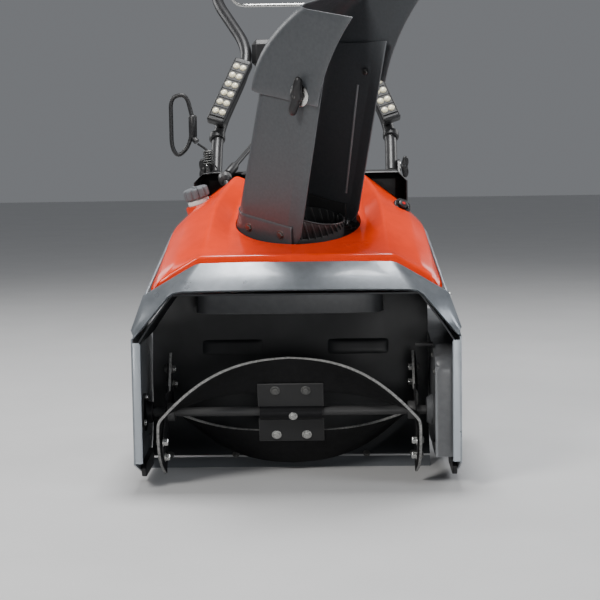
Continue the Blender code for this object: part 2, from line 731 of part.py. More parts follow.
# ================================================================ engine
def crankshaft(axis):
    rod("crankshaft", (-0.118, CRANK_Y, CRANK_Z), (BELT_X + 0.012, CRANK_Y, CRANK_Z), 0.0095, STEEL,
        parent=axis)
    turned("flywheel", [(0.0098, 0.020), (0.030, 0.020), (0.034, 0.010), (0.078, 0.010), (0.078, -0.008),
                                (0.0098, -0.008)],
                   (-0.092, CRANK_Y, CRANK_Z), (-1, CRANK_Y, CRANK_Z), CAST, parent=axis)
    turned("crank_pulley", pulley_profile(CRANK_PULLEY_R, 0.0098), (BELT_X, CRANK_Y, CRANK_Z),
                   (BELT_X + 1, CRANK_Y, CRANK_Z), STEEL, parent=axis)


def idler_place():
    """Where the idler rests: just off the belt's lower run, a fixed way along it."""
    dy, dz = CRANK_Y - ROTOR_Y, CRANK_Z - ROTOR_Z
    line = math.atan2(dz, dy)
    grow = BELT_T / 2 + 0.0012
    big, small = ROTOR_PULLEY_R + grow, CRANK_PULLEY_R + grow
    fall = line - math.acos((big - small) / math.hypot(dy, dz))
    start = Vector((ROTOR_Y + big * math.cos(fall), ROTOR_Z + big * math.sin(fall)))
    end = Vector((CRANK_Y + small * math.cos(fall), CRANK_Z + small * math.sin(fall)))
    off = Vector((math.cos(fall), math.sin(fall))) * (IDLER_R + IDLER_OFF)
    return start.lerp(end, 0.60) + off


def idler(axis, wheel_axis):
    """Arm behind the belt cover's wall that swings a small pulley onto the belt."""
    x = BELT_X - 0.0115
    place = idler_place()
    line = math.atan2(place.y - ARM_PIVOT[1], place.x - ARM_PIVOT[0])
    side = math.pi / 2
    border = arc(ARM_PIVOT, 0.008, line + side, line + 3 * side, 8)
    border += arc(place, 0.007, line - side, line + side, 8)
    holes = [circle(ARM_PIVOT, 0.0038, 16), circle(place, 0.0030, 12)]
    flat("idler_arm", [border] + holes, 0.003, STEEL, "X", x, parent=axis)
    turned("idler_pulley", [(0, 0.0045), (IDLER_R, 0.0045), (IDLER_R, -0.0045), (0.0027, -0.0045),
                                     (0.0027, -0.0140), (0, -0.0140)],
                    (BELT_X, *place), (BELT_X + 1, *place), CAST, parent=wheel_axis)


def crankcase():
    block = box("crankcase", (ENGINE_X - 0.075, 0.345, 0.150), (ENGINE_X + 0.075, 0.470, 0.300), CAST,
                edge=0.008)
    solid(block)
    join(block, rod("case_boss", (ENGINE_X - 0.085, CRANK_Y, CRANK_Z),
                    (ENGINE_X + 0.085, CRANK_Y, CRANK_Z), 0.030, CAST))
    bore = rod("case_bore", (-0.2, CRANK_Y, CRANK_Z), (0.3, CRANK_Y, CRANK_Z), 0.0095 + GAP, CAST)
    foot = box("case_foot", (ENGINE_X - 0.070, 0.350, 0.134), (ENGINE_X + 0.070, 0.465, 0.152), CAST)
    join(block, foot)
    return cut(block, bore)


def cylinder():
    """Finned barrel and head with the valve cover, standing on the crankcase."""
    x, y = ENGINE_X, 0.415
    profile = [(0, 0.130)]
    fins = 7
    for k in range(fins):
        z = 0.128 - k * 0.015
        profile += [(0.050, z), (0.050, z - 0.004), (0.034, z - 0.004), (0.034, z - 0.015)]
    profile += [(0.034, 0.0), (0, 0.0)]
    barrel = turned("cylinder", profile, (x, y, 0.300 + GAP), (x, y, 1), CAST, segments=24)
    head = box("valve_cover", (x - 0.040, y - 0.034, 0.428), (x + 0.040, y + 0.034, 0.462), CAST,
               edge=0.006)
    solid(head)
    plug = rod("plug_boot", (x, y - 0.030, 0.440), (x, y - 0.058, 0.448), 0.008, BLACK, segments=16)
    return join(barrel, head, plug)


def muffler():
    can = box("muffler", (0.128, 0.372, 0.330), (0.172, 0.462, 0.430), STEEL, edge=0.010)
    solid(can)
    pipe = rod("exhaust_pipe", (0.112, 0.415, 0.385), (0.135, 0.415, 0.385), 0.011, STEEL)
    outlet = rod("outlet", (0.150, 0.455, 0.360), (0.150, 0.476, 0.354), 0.009, STEEL)
    return join(can, pipe, outlet)


def carburettor():
    body = box("carburettor", (-0.038, 0.440, 0.350), (0.000, 0.478, 0.388), CAST, edge=0.004)
    solid(body)
    throat = rod("intake", (-0.002, 0.455, 0.370), (0.003, 0.455, 0.370), 0.012, CAST)
    bowl = rod("float_bowl", (-0.019, 0.459, 0.352), (-0.019, 0.459, 0.330), 0.014, CAST)
    airbox = box("air_box", (-0.078, 0.436, 0.345), (-0.036, 0.486, 0.400), BLACK, edge=0.004)
    solid(airbox)
    return join(body, throat, bowl, airbox)


def fuel_tank():
    tank = box("fuel_tank", (-0.196, 0.372, 0.360), (-0.095, 0.462, 0.440), WHITE, edge=0.012)
    solid(tank)
    neck = tube("filler_neck", rounded_path([(-0.150, 0.385, 0.400), (-0.162, 0.345, 0.415),
                                             CAP_AT - CAP_UP * 0.02, CAP_AT + CAP_UP * 0.018], 0.03, 4),
                0.015, WHITE, sides=3)
    return join(tank, neck)


def fuel_cap(axis):
    """Ribbed cap on the tilted filler neck."""
    cap = turned("fuel_cap", [(0, 0.040), (0.022, 0.040), (0.0245, 0.036), (0.0245, 0.019), (0, 0.019)],
                 CAP_AT, CAP_AT + CAP_UP, CAP_GREY, segments=32, parent=axis)
    for k in range(12):
        a = 2 * math.pi * k / 12
        side = CAP_UP.orthogonal().normalized()
        out = Matrix.Rotation(a, 3, CAP_UP) @ side
        at = CAP_AT + out * 0.0240
        join(cap, rod(f"cap_rib_{k}", at + CAP_UP * 0.021, at + CAP_UP * 0.035, 0.0022, CAP_GREY,
                      segments=8, parent=axis))


def recoil_housing():
    """Rewind starter: a dished cover over the flywheel with air slots and a rope outlet."""
    profile = [(0.020, 0.050), (0.060, 0.050), (0.086, 0.036), (0.090, 0.0), (0.087, 0.0), (0.083, 0.034),
               (0.059, 0.047), (0.020, 0.047)]
    cover = turned("recoil_housing", profile[::-1], (-0.120, CRANK_Y, CRANK_Z), (-1, CRANK_Y, CRANK_Z),
                   BLACK)
    for k in range(10):
        a = 2 * math.pi * k / 10
        y, z = CRANK_Y + 0.042 * math.cos(a), CRANK_Z + 0.042 * math.sin(a)
        cut(cover, rod(f"air_slot_{k}", (-0.180, y, z), (-0.160, y, z), 0.009, BLACK, segments=12))
    outlet = turned("rope_outlet", [(0.004, 0.014), (0.010, 0.014), (0.010, -0.006), (0.004, -0.006)][::-1],
                    ROPE_OUT, ROPE_OUT + ROPE_WAY, BLACK, segments=16)
    join(cover, outlet)


def starter_rope():
    path = [ROPE_OUT + ROPE_WAY * 0.016, ROPE_OUT + ROPE_WAY * 0.05, ROPE_TURN,
            ROPE_GUIDE - Vector((0, 0, 0.022)), ROPE_GUIDE, ROPE_GUIDE + Vector((-0.002, 0.002, 0.014)),
            GRIP_AT + Vector((0.003, 0, -0.004))]
    tube("starter_rope", smooth_path(path, 5), 0.0025, BLACK)


def starter_grip(axis):
    """D-loop pull grip with its hub and bent neck."""
    top, bottom = 0.692, 0.562
    loop = [(-0.2300, 0.645, 0.640), (-0.2420, 0.645, top), (-0.2750, 0.645, top - 0.006),
            (-0.2750, 0.645, bottom + 0.02),
            (-0.2620, 0.645, bottom), (-0.2400, 0.645, bottom + 0.02), (-0.2300, 0.645, 0.620)]
    grip = tube("starter_grip", rounded_path(loop, 0.02, 4), 0.0045, BLACK, parent=axis)
    hub = rod("grip_hub", (-0.2300, 0.645, 0.648), (-0.2300, 0.645, 0.600), 0.0085, BLACK, segments=16,
              parent=axis)
    neck = rod("grip_neck", (-0.2300, 0.645, 0.606), GRIP_AT, 0.0070, BLACK, segments=16, parent=axis)
    join(grip, hub, neck)


# ================================================================ covers
def hood_sections():
    """Half sections of the hood across the machine, from the front edge to the rear.

    Each runs from the lower side edge over the shoulder ridge to the middle.
    """
    return [
        (0.054, [(0.2490, 0.3340), (0.2360, 0.3540), (0.2200, 0.3620), (0.1700, 0.3895),
                 (0.1200, 0.3895), (0, 0.3895)]),
        (0.058, [(0.2492, 0.3370), (0.2362, 0.3570), (0.2195, 0.3680), (0.1690, 0.3975),
                 (0.1200, 0.3980), (0, 0.3980)]),
        (0.080, [(0.2500, 0.3480), (0.2370, 0.3680), (0.2150, 0.3830), (0.1620, 0.4060),
                 (0.1150, 0.4030), (0, 0.4030)]),
        (0.160, [(0.2400, 0.3830), (0.2340, 0.4020), (0.2080, 0.4200), (0.1560, 0.4420),
                 (0.1200, 0.4260), (0, 0.4200)]),
        (0.240, [(0.2310, 0.4180), (0.2280, 0.4330), (0.2020, 0.4570), (0.1500, 0.4760),
                 (0.1180, 0.4520), (0, 0.4450)]),
        (0.310, [(0.2290, 0.4200), (0.2200, 0.4430), (0.1850, 0.4780), (0.1380, 0.5040),
                 (0.1080, 0.4850), (0, 0.4680)]),
        (0.365, [(0.2280, 0.4200), (0.2120, 0.4460), (0.1650, 0.4930), (0.1210, 0.5270),
                 (0.0850, 0.5130), (0, 0.4900)]),
    ]


def engine_hood():
    rows = []
    for y, half in hood_sections():
        rows.append([(-x, y, z) for x, z in half[:-1]] + [(half[-1][0], y, half[-1][1])]
                    + [(x, y, z) for x, z in reversed(half[:-1])])
    hood = sheet("engine_hood", rows, SHELL_WALL, ORANGE, side=0)
    frame = ring_frame()
    hole = rod("hood_hole", frame @ Vector((0, 0, -0.05)), frame @ Vector((0, 0, 0.09)), HOOD_HOLE_R,
               DARK, segments=48)
    cap_room = rod("cap_room", CAP_AT - CAP_UP * 0.03, CAP_AT + CAP_UP * 0.06, 0.0300, DARK, segments=32)
    button_room = rod("button_room", BUTTON_AT - BUTTON_OUT * 0.03, BUTTON_AT + BUTTON_OUT * 0.03,
                      0.0125, DARK)
    crank_room = rod("crank_room", WORM_AT + WORM_WAY * 0.12, UNIVERSAL, 0.016, DARK)
    return cut(hood, hole, cap_room, button_room, crank_room)


def start_button(axis):
    """Push button of the electric starter with its housing below the hood."""
    return turned("start_button",
                  [(0, 0.011), (0.0080, 0.011), (0.0095, 0.009), (0.0095, -0.020), (0, -0.020)],
                  BUTTON_AT, BUTTON_AT + BUTTON_OUT, BLACK, segments=20, parent=axis)


def rear_cover():
    """Black cover round the top and rear of the engine, open at the front and below."""
    low = (-0.205, 0.3500, 0.245)
    high = (0.205, 0.520, 0.5330)
    cover = solid(box("rear_cover", low, high, BLACK, edge=0.018))
    room = solid(box("rear_room", (low[0] + 0.003, low[1] - 0.05, low[2] - 0.05),
                     (high[0] - 0.003, high[1] - 0.003, high[2] - 0.003), BLACK, edge=0.015))
    tools = [room]
    worm = box("rod_way", (-0.175, 0.30, 0.470), (-0.112, 0.452, 0.60), BLACK)
    belt = box("belt_way", (0.190, 0.30, 0.20), (0.30, CRANK_Y + 0.06, CRANK_Z + 0.085), BLACK)
    rope = rod("rope_way", ROPE_OUT + ROPE_WAY * 0.05, ROPE_TURN, 0.010, BLACK)
    tank_side = box("neck_way", (-0.25, 0.33, 0.385), (-0.15, 0.384, 0.60), BLACK)
    tools += [worm, belt, rope, tank_side]
    for k in range(5):
        z = 0.300 + 0.020 * k
        tools.append(box(f"louvre_{k}", (-0.11, 0.50, z), (0.11, 0.54, z + 0.009), BLACK))
    for x in (KEY_X, CHOKE_X, PRIMER_X):
        tools.append(rod(f"control_hole_{x}", (x, 0.50, CONTROL_Z), (x, 0.54, CONTROL_Z), 0.0085, BLACK))
    return cut(cover, *tools)


def controls(key_axis, choke_axis, primer_axis):
    face = REAR_FACE
    key = rod("ignition_key", (KEY_X, face - 0.018, CONTROL_Z), (KEY_X, face + 0.010, CONTROL_Z), 0.0065,
              RED,
              segments=20, parent=key_axis)
    blade = box("key_grip", (KEY_X - 0.003, face + 0.008, CONTROL_Z - 0.016),
                (KEY_X + 0.003, face + 0.030, CONTROL_Z + 0.016),
                RED, parent=key_axis)
    join(key, blade)
    choke = rod("choke_knob", (CHOKE_X, face - 0.018, CONTROL_Z), (CHOKE_X, face + 0.010, CONTROL_Z),
                0.0060, BLACK,
                segments=20, parent=choke_axis)
    join(choke, box("choke_grip", (CHOKE_X - 0.018, face + 0.008, CONTROL_Z - 0.005),
                    (CHOKE_X + 0.018, face + 0.026, CONTROL_Z + 0.005), BLACK, parent=choke_axis))
    turned("primer_bulb", [(0, 0.015), (0.0040, 0.0145), (0.0072, 0.010), (0.0079, 0.004),
                           (0.0079, -0.012), (0, -0.012)],
                    (PRIMER_X, face, CONTROL_Z), (PRIMER_X, face + 1,
                                                  CONTROL_Z), RED, segments=24, parent=primer_axis)


# ================================================================ chassis, wheels, handle
def chassis_pan():
    """Engine deck with turned-down sides that carry the axle."""
    half = 0.170
    deck = box("chassis_pan", (-half, 0.262, 0.130), (half, 0.575, 0.134 - GAP), DARK)
    tools = []
    for sign in (-1, 1):
        a, b = sorted((sign * (half - 0.003), sign * half))
        tools.append(box(f"deck_side_{sign}", (a - 0.0004 * sign, 0.430, 0.085),
                         (b - 0.0004 * sign, 0.574, 0.1325), DARK))
        outer = sign * (WHEEL_X - WHEEL_W / 2 - 0.006)
        tools.append(rod(f"axle_shoulder_{sign}", (sign * 0.15, WHEEL_Y, WHEEL_R),
                         (outer, WHEEL_Y, WHEEL_R), 0.010, STEEL))
    front = box("deck_front", (-half + 0.0004, 0.2624, 0.1304), (half - 0.0004, 0.2660, 0.170), DARK)
    axle = rod("axle", (-WHEEL_X - WHEEL_W / 2 - 0.008, WHEEL_Y, WHEEL_R),
               (WHEEL_X + WHEEL_W / 2 + 0.008, WHEEL_Y, WHEEL_R),
               0.0065, STEEL)
    return join(deck, *tools, front, axle)


def wheel(side, sign, axis):
    """Spoked plastic rim and its rubber tyre."""
    x = sign * WHEEL_X
    half = WHEEL_W / 2
    rim_r = WHEEL_R * 0.72
    ends = (Vector((x, WHEEL_Y, WHEEL_R)), Vector((x + sign, WHEEL_Y, WHEEL_R)))
    profile = [(0.0065 + GAP, half), (0.018, half), (0.018, 0.006), (rim_r - 0.010, 0.004),
               (rim_r - 0.006, half - 0.004),
               (rim_r, half - 0.004), (rim_r, -half + 0.004), (rim_r - 0.006,
                                                               -half + 0.004), (rim_r - 0.010, -0.004),
               (0.018, -0.006), (0.018, -half), (0.0065 + GAP, -half)]
    rim = turned(f"wheel_rim_{side}", profile, *ends, WHITE, parent=axis)
    for k in range(5):
        a = 2 * math.pi * k / 5
        y, z = WHEEL_Y + 0.040 * math.cos(a), WHEEL_R + 0.040 * math.sin(a)
        cut(rim, rod(f"rim_hole_{side}_{k}", (x - 0.03, y, z), (x + 0.03, y, z), 0.013, WHITE,
                     segments=10, parent=axis))
    inner = rim_r + GAP
    tread = [(inner, half - 0.004), (WHEEL_R - 0.012, half), (WHEEL_R, half - 0.010),
             (WHEEL_R, -half + 0.010),
             (WHEEL_R - 0.012, -half), (inner, -half + 0.004)]
    turned(f"tyre_{side}", tread, *ends, TYRE, segments=40, parent=axis)


def lower_handle():
    """Two fixed tubes with their fold brackets, the cross brace, the rod support and the rope guide."""
    frame = None
    for sign in (-1, 1):
        low = Vector((sign * HANDLE_X, 0.564, 0.095))
        top = Vector((sign * LOWER_TOP.x, LOWER_TOP.y, LOWER_TOP.z))
        leg = rod(f"lower_tube_{sign}", low, top, TUBE_R, TUBE_BLACK, segments=16)
        plate_x = sign * (HANDLE_X + TUBE_R + BRACKET_T / 2 - 0.0005)
        border = arc((PIVOT_Y, PIVOT_Z), 0.016, math.radians(-45), math.radians(135), 8)
        border += arc((LOWER_TOP.y - 0.010, LOWER_TOP.z - 0.030), 0.014, math.radians(135),
                      math.radians(315), 8)
        plate = flat(f"fold_plate_{sign}", [border, circle((PIVOT_Y, PIVOT_Z), 0.0045, 20)], BRACKET_T,
                     BLACK, "X", plate_x)
        frame = join(leg, plate) if frame is None else join(frame, leg, plate)
    brace_y, brace_z = 0.588, 0.400
    brace = rod("cross_brace", (-0.18, brace_y, brace_z), (0.18, brace_y, brace_z), 0.009, BLACK,
                segments=16)
    post = rod("support_post", (ROD_SUPPORT.x, brace_y, brace_z), ROD_SUPPORT - Vector((0, 0, 0.010)),
               0.006, BLACK, segments=12)
    eye = turned("support_eye",
                 [(ROD_R + 0.0006, -0.006), (0.013, -0.006), (0.013, 0.006),
                  (ROD_R + 0.0006, 0.006)][::-1],
                 ROD_SUPPORT, ROD_SUPPORT + ROD_WAY, BLACK, segments=20)
    hole = rod("eye_hole", ROD_SUPPORT - ROD_WAY * 0.03, ROD_SUPPORT + ROD_WAY * 0.03, ROD_R + 0.0006,
               BLACK, segments=20)
    join(frame, brace, post, eye)
    cut(frame, hole)
    frame.name = "lower_handle"
    coil = []
    for k in range(45):
        a = 2 * math.pi * k / 12
        coil.append(ROPE_GUIDE + Vector((0.0090 * math.cos(a), 0.0090 * math.sin(a),
                                         -0.011 + 0.020 * k / 44)))
    stem = [coil[0], ROPE_GUIDE + Vector((0.020, 0.0, -0.024)),
            Vector((-HANDLE_X, LOWER_TOP.y - 0.006, 0.480))]
    guide = tube("rope_guide_coil", [*reversed(rounded_path(stem, 0.01, 3)[1:]), *coil], 0.0018, STEEL,
                 sides=1)
    return join(frame, guide)


# ---------------------------------------------------------------- crank, rod and their line
LEAD = 2 * math.pi * RING_PITCH_R / RING_TEETH
LEAD_ANGLE = math.atan(LEAD / (2 * math.pi * WORM_R))
WORM_DISTANCE = RING_PITCH_R + WORM_R


def worm_line():
    """Centre and direction of the worm: beside the ring on the machine's -X side, tilted by its lead."""
    angle = math.pi + WORM_TURN
    out = Vector((math.cos(angle), math.sin(angle), 0))
    back = Vector((math.sin(angle), -math.cos(angle), 0))
    way = (back * math.cos(LEAD_ANGLE) + Vector((0, 0, 1)) * math.sin(LEAD_ANGLE)).normalized()
    frame = ring_frame()
    centre = frame @ (out * WORM_DISTANCE + Vector((0, 0, RING_H)))
    return centre, (frame.to_3x3() @ way).normalized()


WORM_AT, WORM_WAY = worm_line()
UNIVERSAL = WORM_AT + WORM_WAY * JOINT_DISTANCE
ROD_WAY = (ROD_TOP - UNIVERSAL).normalized()
ROD_SUPPORT = UNIVERSAL + ROD_WAY * ((ROD_TOP - UNIVERSAL).length - 0.060)


def crank_worm(axis):
    """Worm: a coarse wire thread on a core, its shaft, and the cup of the universal joint."""
    core = rod("crank_worm", WORM_AT - WORM_WAY * 0.030, UNIVERSAL - WORM_WAY * 0.016, 0.0060, BLACK,
               segments=16, parent=axis)
    side = WORM_WAY.orthogonal().normalized()
    turns, steps = 2.5, 14
    path = []
    count = int(turns * steps)
    for k in range(count + 1):
        t = k / steps
        out = Matrix.Rotation(-2 * math.pi * t, 3, WORM_WAY) @ side
        radius = WORM_R - (0.0055 if k in (0, count) else 0.0)
        path.append(WORM_AT + WORM_WAY * (t - turns / 2) * LEAD + out * radius)
    thread = tube("worm_thread", path, WORM_WIRE / 2, BLACK, sides=1, parent=axis)
    cup = turned("worm_cup",
                 [(0.0, -0.018), (0.0, -0.0125), (0.0062, -0.0105), (0.0095, -0.006), (0.0105, 0.0),
                              (0.0135, 0.0), (0.0130, -0.012), (0.0075, -0.018)],
                 UNIVERSAL, UNIVERSAL + WORM_WAY, BLACK, segments=20, parent=axis)
    join(core, thread, cup)


def crank_rod(axis):
    """Long control rod with a ball at its lower end and a cranked hand grip at the top."""
    core = rod("crank_rod", UNIVERSAL, ROD_TOP, ROD_R, BLACK, segments=16, parent=axis)
    sphere = [(0.0075 * math.cos(a), 0.0075 * math.sin(a)) for a in (math.radians(60 - 30 * k) for k in range(5))]
    ball = turned("rod_ball", [(0, 0.0075)] + sphere + [(0, -0.0075)],
                  UNIVERSAL, UNIVERSAL + ROD_WAY, BLACK, segments=16, parent=axis)
    side = (Matrix.Rotation(math.radians(200), 3, ROD_WAY) @ ROD_WAY.orthogonal()).normalized()
    elbow = ROD_TOP + side * 0.045
    arm = rod("crank_arm", ROD_TOP - ROD_WAY * 0.004, elbow - ROD_WAY * 0.004, 0.0050, BLACK,
              segments=16, parent=axis)
    grip = rod("crank_grip", elbow - ROD_WAY * 0.010, elbow + ROD_WAY * 0.055, 0.0105, BLACK,
               radius2=0.0085, segments=20,
               parent=axis)
    join(core, ball, arm, grip)


# ================================================================ chute
def chute_row(half, h, back, front, soft, tip):
    """U section open towards +x: flange tip, side, rounded rear corners, side, flange tip."""
    side = [(front, -half + tip), (front - 0.027, -half), (back + soft, -half)]
    corner = [(back + soft - soft * math.sin(math.radians(a)),
               -half + soft - soft * math.cos(math.radians(a)))
              for a in (30, 60, 90)]
    row = side + corner
    full = row + [(x, -y) for x, y in reversed(row)]
    return [(x, y, h) for x, y in full]


def chute_back(h):
    return -0.0865 + 0.255 * h


def chute_front(h):
    return 0.073 + 0.20 * h


def chute_channel(axis):
    rows = []
    for h in (-0.006, 0.045, 0.160, 0.270):
        rows.append(chute_row(CHUTE_HALF, h, chute_back(h), chute_front(h), 0.030, 0.006))
    low, high = chute_back(CHUTE_TOP_BACK), chute_front(CHUTE_TOP)
    top = chute_row(CHUTE_HALF, CHUTE_TOP, low, high, 0.030, 0.006)
    rise = CHUTE_TOP - CHUTE_TOP_BACK
    rows.append([(x, y, CHUTE_TOP_BACK + rise * max(0, (x - low) / (high - low)) ** 1.5) for x, y,
                 h in top])
    channel = sheet("chute_channel", rows, CHUTE_T, CHUTE_GREY, side=0, parent=axis, local=True)
    for k, (x, h) in enumerate(((-0.038, 0.012), (0.038, 0.016))):
        for sign in (-1, 1):
            face = sign * (CHUTE_HALF + CHUTE_T / 2 - 0.0005)
            head = rod(f"chute_bolt_{k}_{sign}", (x, face, h), (x, face + sign * 0.0045, h), 0.0060,
                       STEEL, segments=12,
                       parent=axis, local=True)
            join(channel, head)
    for sign in (-1, 1):
        bore = rod(f"pin_bore_{sign}", (KNOB_X, sign * 0.07, KNOB_H), (KNOB_X, sign * 0.11, KNOB_H),
                   0.0042, STEEL,
                   segments=16, parent=axis, local=True)
        cut(channel, bore)


def chute_collar(axis):
    """Round collar that turns in the hood's opening, with the ring gear round its foot.

    A guard rises from its open side, high beside the near chute wall and low beside the far one.
    """
    inner = COLLAR_R - COLLAR_WALL
    root = RING_PITCH_R - TOOTH_H / 2
    profile = [(inner, 0.003), (COLLAR_R, 0.003), (COLLAR_R, RING_H + 0.0045), (root, RING_H + 0.0045),
               (root, RING_H - 0.0045),
               (inner, RING_H - 0.0045)]
    collar = turned("chute_collar", profile, (0, 0, 0), (0, 0, 1), BLACK, segments=40, parent=axis,
                    local=True)
    join(collar, gear_teeth(axis))
    low, high = [], []
    for k in range(GUARD_STEPS + 1):
        a = GUARD_FROM + (GUARD_TO - GUARD_FROM) * k / GUARD_STEPS
        x, y = (COLLAR_R - COLLAR_WALL / 2) * math.cos(a), (COLLAR_R - COLLAR_WALL / 2) * math.sin(a)
        low.append((x, y, -0.003))
        high.append((x, y, GUARD_HIGH + (GUARD_LOW - GUARD_HIGH) * math.sin(math.pi / 2 * k / GUARD_STEPS)))
    join(collar, sheet("collar_guard", [low, high], COLLAR_WALL * 0.7, BLACK, side=0, parent=axis,
                       local=True))
    for sign in (-1, 1):
        outer = CHUTE_HALF - CHUTE_T / 2 - GAP
        sides = sorted((sign * (outer - 0.0034), sign * outer))
        join(collar, box(f"chute_tab_{sign}", (-0.046, sides[0], RING_H), (0.044, sides[1], 0.024),
                         BLACK, parent=axis,
                         local=True))


def gear_teeth(axis):
    """All the teeth and the band that carries them, as one flat outline."""
    root = RING_PITCH_R - TOOTH_H / 2
    tip = RING_PITCH_R + TOOTH_H / 2
    border = []
    for k in range(RING_TEETH):
        middle = 2 * math.pi * (k + 0.5) / RING_TEETH
        for radius, half in ((root, 0.0030), (tip, 0.0019), (tip, -0.0019), (root, -0.0030)):
            a = middle - half / radius
            border.append((radius * math.cos(a), radius * math.sin(a)))
    hole = circle((0, 0), root - 0.004, 40)
    return flat("gear_teeth", [border, hole], 0.008, BLACK, "Z", RING_H, parent=axis, local=True)


def deflector(axis):
    """Upper chute: a wider channel that tips about its two wing knobs."""
    half = CHUTE_HALF + CHUTE_T + RUNNING_GAP
    rows = []
    steps = 4
    for k in range(steps + 1):
        h = DEFLECTOR_H + (DEFLECTOR_TOP - DEFLECTOR_H) * k / steps
        lean = 0.10 * (k / steps) ** 2
        back = chute_back(DEFLECTOR_H) - 0.016 + 0.12 * (h - DEFLECTOR_H) + lean
        rows.append(chute_row(half, h, back, chute_front(h) + 0.004 + lean * 0.45, 0.030, 0.0))
    hood = sheet("deflector", rows, CHUTE_T, CHUTE_GREY, side=0, parent=axis, local=True)
    for sign in (-1, 1):
        bore = rod(f"deflector_bore_{sign}", (KNOB_X, sign * 0.07, KNOB_H),
                   (KNOB_X, sign * 0.11, KNOB_H), 0.0042, STEEL,
                   segments=16, parent=axis, local=True)
        cut(hood, bore)
    return hood


def wing_knob(name, start, way, reach, span, side, axis, local):
    """Threaded stud with a two-winged knob. The stud runs back by reach, and span is one wing's length."""
    start, way, side = Vector(start), Vector(way).normalized(), Vector(side).normalized()
    hub = rod(name, start, start + way * 0.013, 0.009, BLACK, segments=20, parent=axis, local=local)
    stud = rod(name + "_stud", start - way * reach, start + way * 0.004, 0.0038, STEEL, segments=12,
               parent=axis, local=local)
    cap = rod(name + "_end", start - way * reach, start - way * (reach - 0.003), 0.0065, STEEL,
              segments=6, parent=axis,
              local=local)
    wings = []
    for sign in (-1, 1):
        tip = start + way * 0.009 + side * sign * span
        wings.append(rod(f"{name}_wing_{sign}", start + way * 0.0075, tip, 0.0052, BLACK, radius2=0.0044,
                         segments=10,
                         parent=axis, local=local))
    return join(hub, stud, cap, *wings)


# ================================================================ upper handle
def upper_handle(axis):
    """One bent tube: up both sides from the fold pivots and across the top as the grip bar."""
    half = [(HANDLE_X - 0.0010, PIVOT_Y - 0.007, PIVOT_Z - 0.009), (HANDLE_X, 0.700, 0.612),
            (DASH_HALF, 0.800, 0.745), (DASH_HALF, 0.850, 0.800), (0.205, 0.985, 0.912), (0.205, 1.110, 0.985),
            (0.190, GRIP_Y, GRIP_Z), (0, GRIP_Y, GRIP_Z)]
    side = [(-x, y, z) for x, y, z in half[:-1]]
    path = side + [(x, y, z) for x, y, z in reversed(half[:-1])]
    frame = tube("upper_handle", rounded_path(path, 0.05, 4), TUBE_R, TUBE_BLACK, sides=2, parent=axis)
    for sign in (-1, 1):
        bore = rod(f"fold_bore_{sign}", (sign * 0.15, PIVOT_Y, PIVOT_Z), (sign * 0.22, PIVOT_Y, PIVOT_Z),
                   0.0042, BLACK,
                   segments=16, parent=axis)
        cut(frame, bore)


def dash_panel(axis):
    """Cross panel bolted between the handle tubes."""
    half = DASH_HALF - TUBE_R - 0.0008
    solid(box("dash_panel", (-half, 0.806, 0.752), (half, 0.856, 0.812), BLACK, edge=0.010, parent=axis))


def light_bar(name, sign, axis):
    """Work light clipped on the front of a handle tube, leaning in as it rises."""
    low = Vector((sign * 0.186, 0.681, 0.6305))
    high = Vector((sign * 0.128, 0.764, 0.7625))
    length = (high - low).length
    up = (high - low).normalized()
    across = Vector((1, 0, 0))
    across = (across - up * across.dot(up)).normalized()
    front = across.cross(up).normalized()
    bm = bmesh.new()
    bmesh.ops.create_cube(bm, size=1)
    bmesh.ops.scale(bm, vec=(0.040, length, 0.022), verts=bm.verts)
    frame = Matrix((across, up, -front)).transposed().to_4x4()
    if frame.determinant() < 0:
        frame = Matrix((across, up, front)).transposed().to_4x4()
    frame = Matrix.Translation((low + high) / 2) @ frame
    piece = add(name, mesh_from(bm, name), BLACK, matrix=frame, parent=axis)
    solid(bevel(piece, 0.006))


def bail_lever(axis):
    """Wire bail below the grip bar, pivoted inside the handle's side tubes."""
    side_x = 0.205 - TUBE_R - RUNNING_GAP - BAIL_R
    reach = math.hypot(GRIP_Y - BAIL_Y, GRIP_Z - BAIL_Z)
    angle = math.atan2(GRIP_Z - BAIL_Z, GRIP_Y - BAIL_Y) - math.radians(10 + BAIL_SWING)
    out_y, out_z = BAIL_Y + reach * math.cos(angle), BAIL_Z + reach * math.sin(angle)
    narrow = side_x - 0.020
    path = [(-side_x, BAIL_Y, BAIL_Z),
            (-side_x, BAIL_Y + (out_y - BAIL_Y) * 0.35, BAIL_Z + (out_z - BAIL_Z) * 0.35),
            (-narrow, out_y, out_z), (narrow, out_y, out_z),
            (side_x, BAIL_Y + (out_y - BAIL_Y) * 0.35, BAIL_Z + (out_z - BAIL_Z) * 0.35), (side_x,
                                                                                           BAIL_Y, BAIL_Z)]
    bail = tube("bail_lever", rounded_path(path, 0.025, 4), BAIL_R, STEEL, parent=axis)
    for sign in (-1, 1):
        hub = rod(f"bail_hub_{sign}", (sign * (side_x - 0.006), BAIL_Y, BAIL_Z),
                  (sign * (side_x + 0.0048), BAIL_Y, BAIL_Z), 0.007,
                  BLACK, segments=16, parent=axis)
        join(bail, hub)


def clutch_cable():
    """Cable from the fold pivot's clip down to the idler arm."""
    path = [(0.2065, 0.600, 0.470), (0.2080, 0.575, 0.400), (0.2130, 0.520, 0.345), (0.2160, 0.440, 0.325),
            (0.2200, 0.400, 0.318)]
    tube("clutch_cable", smooth_path(path, 4), 0.0025, BLACK)


# ================================================================ assembly
def centre_on_origin():
    """Move the whole machine along Y so that its box is centred over the origin."""
    bpy.context.view_layer.update()
    ends = [(piece.matrix_world @ corner.co).y for piece in PARTS.objects if piece.type == "MESH"
            for corner in piece.data.vertices]
    ROOT.location.y -= (min(ends) + max(ends)) / 2


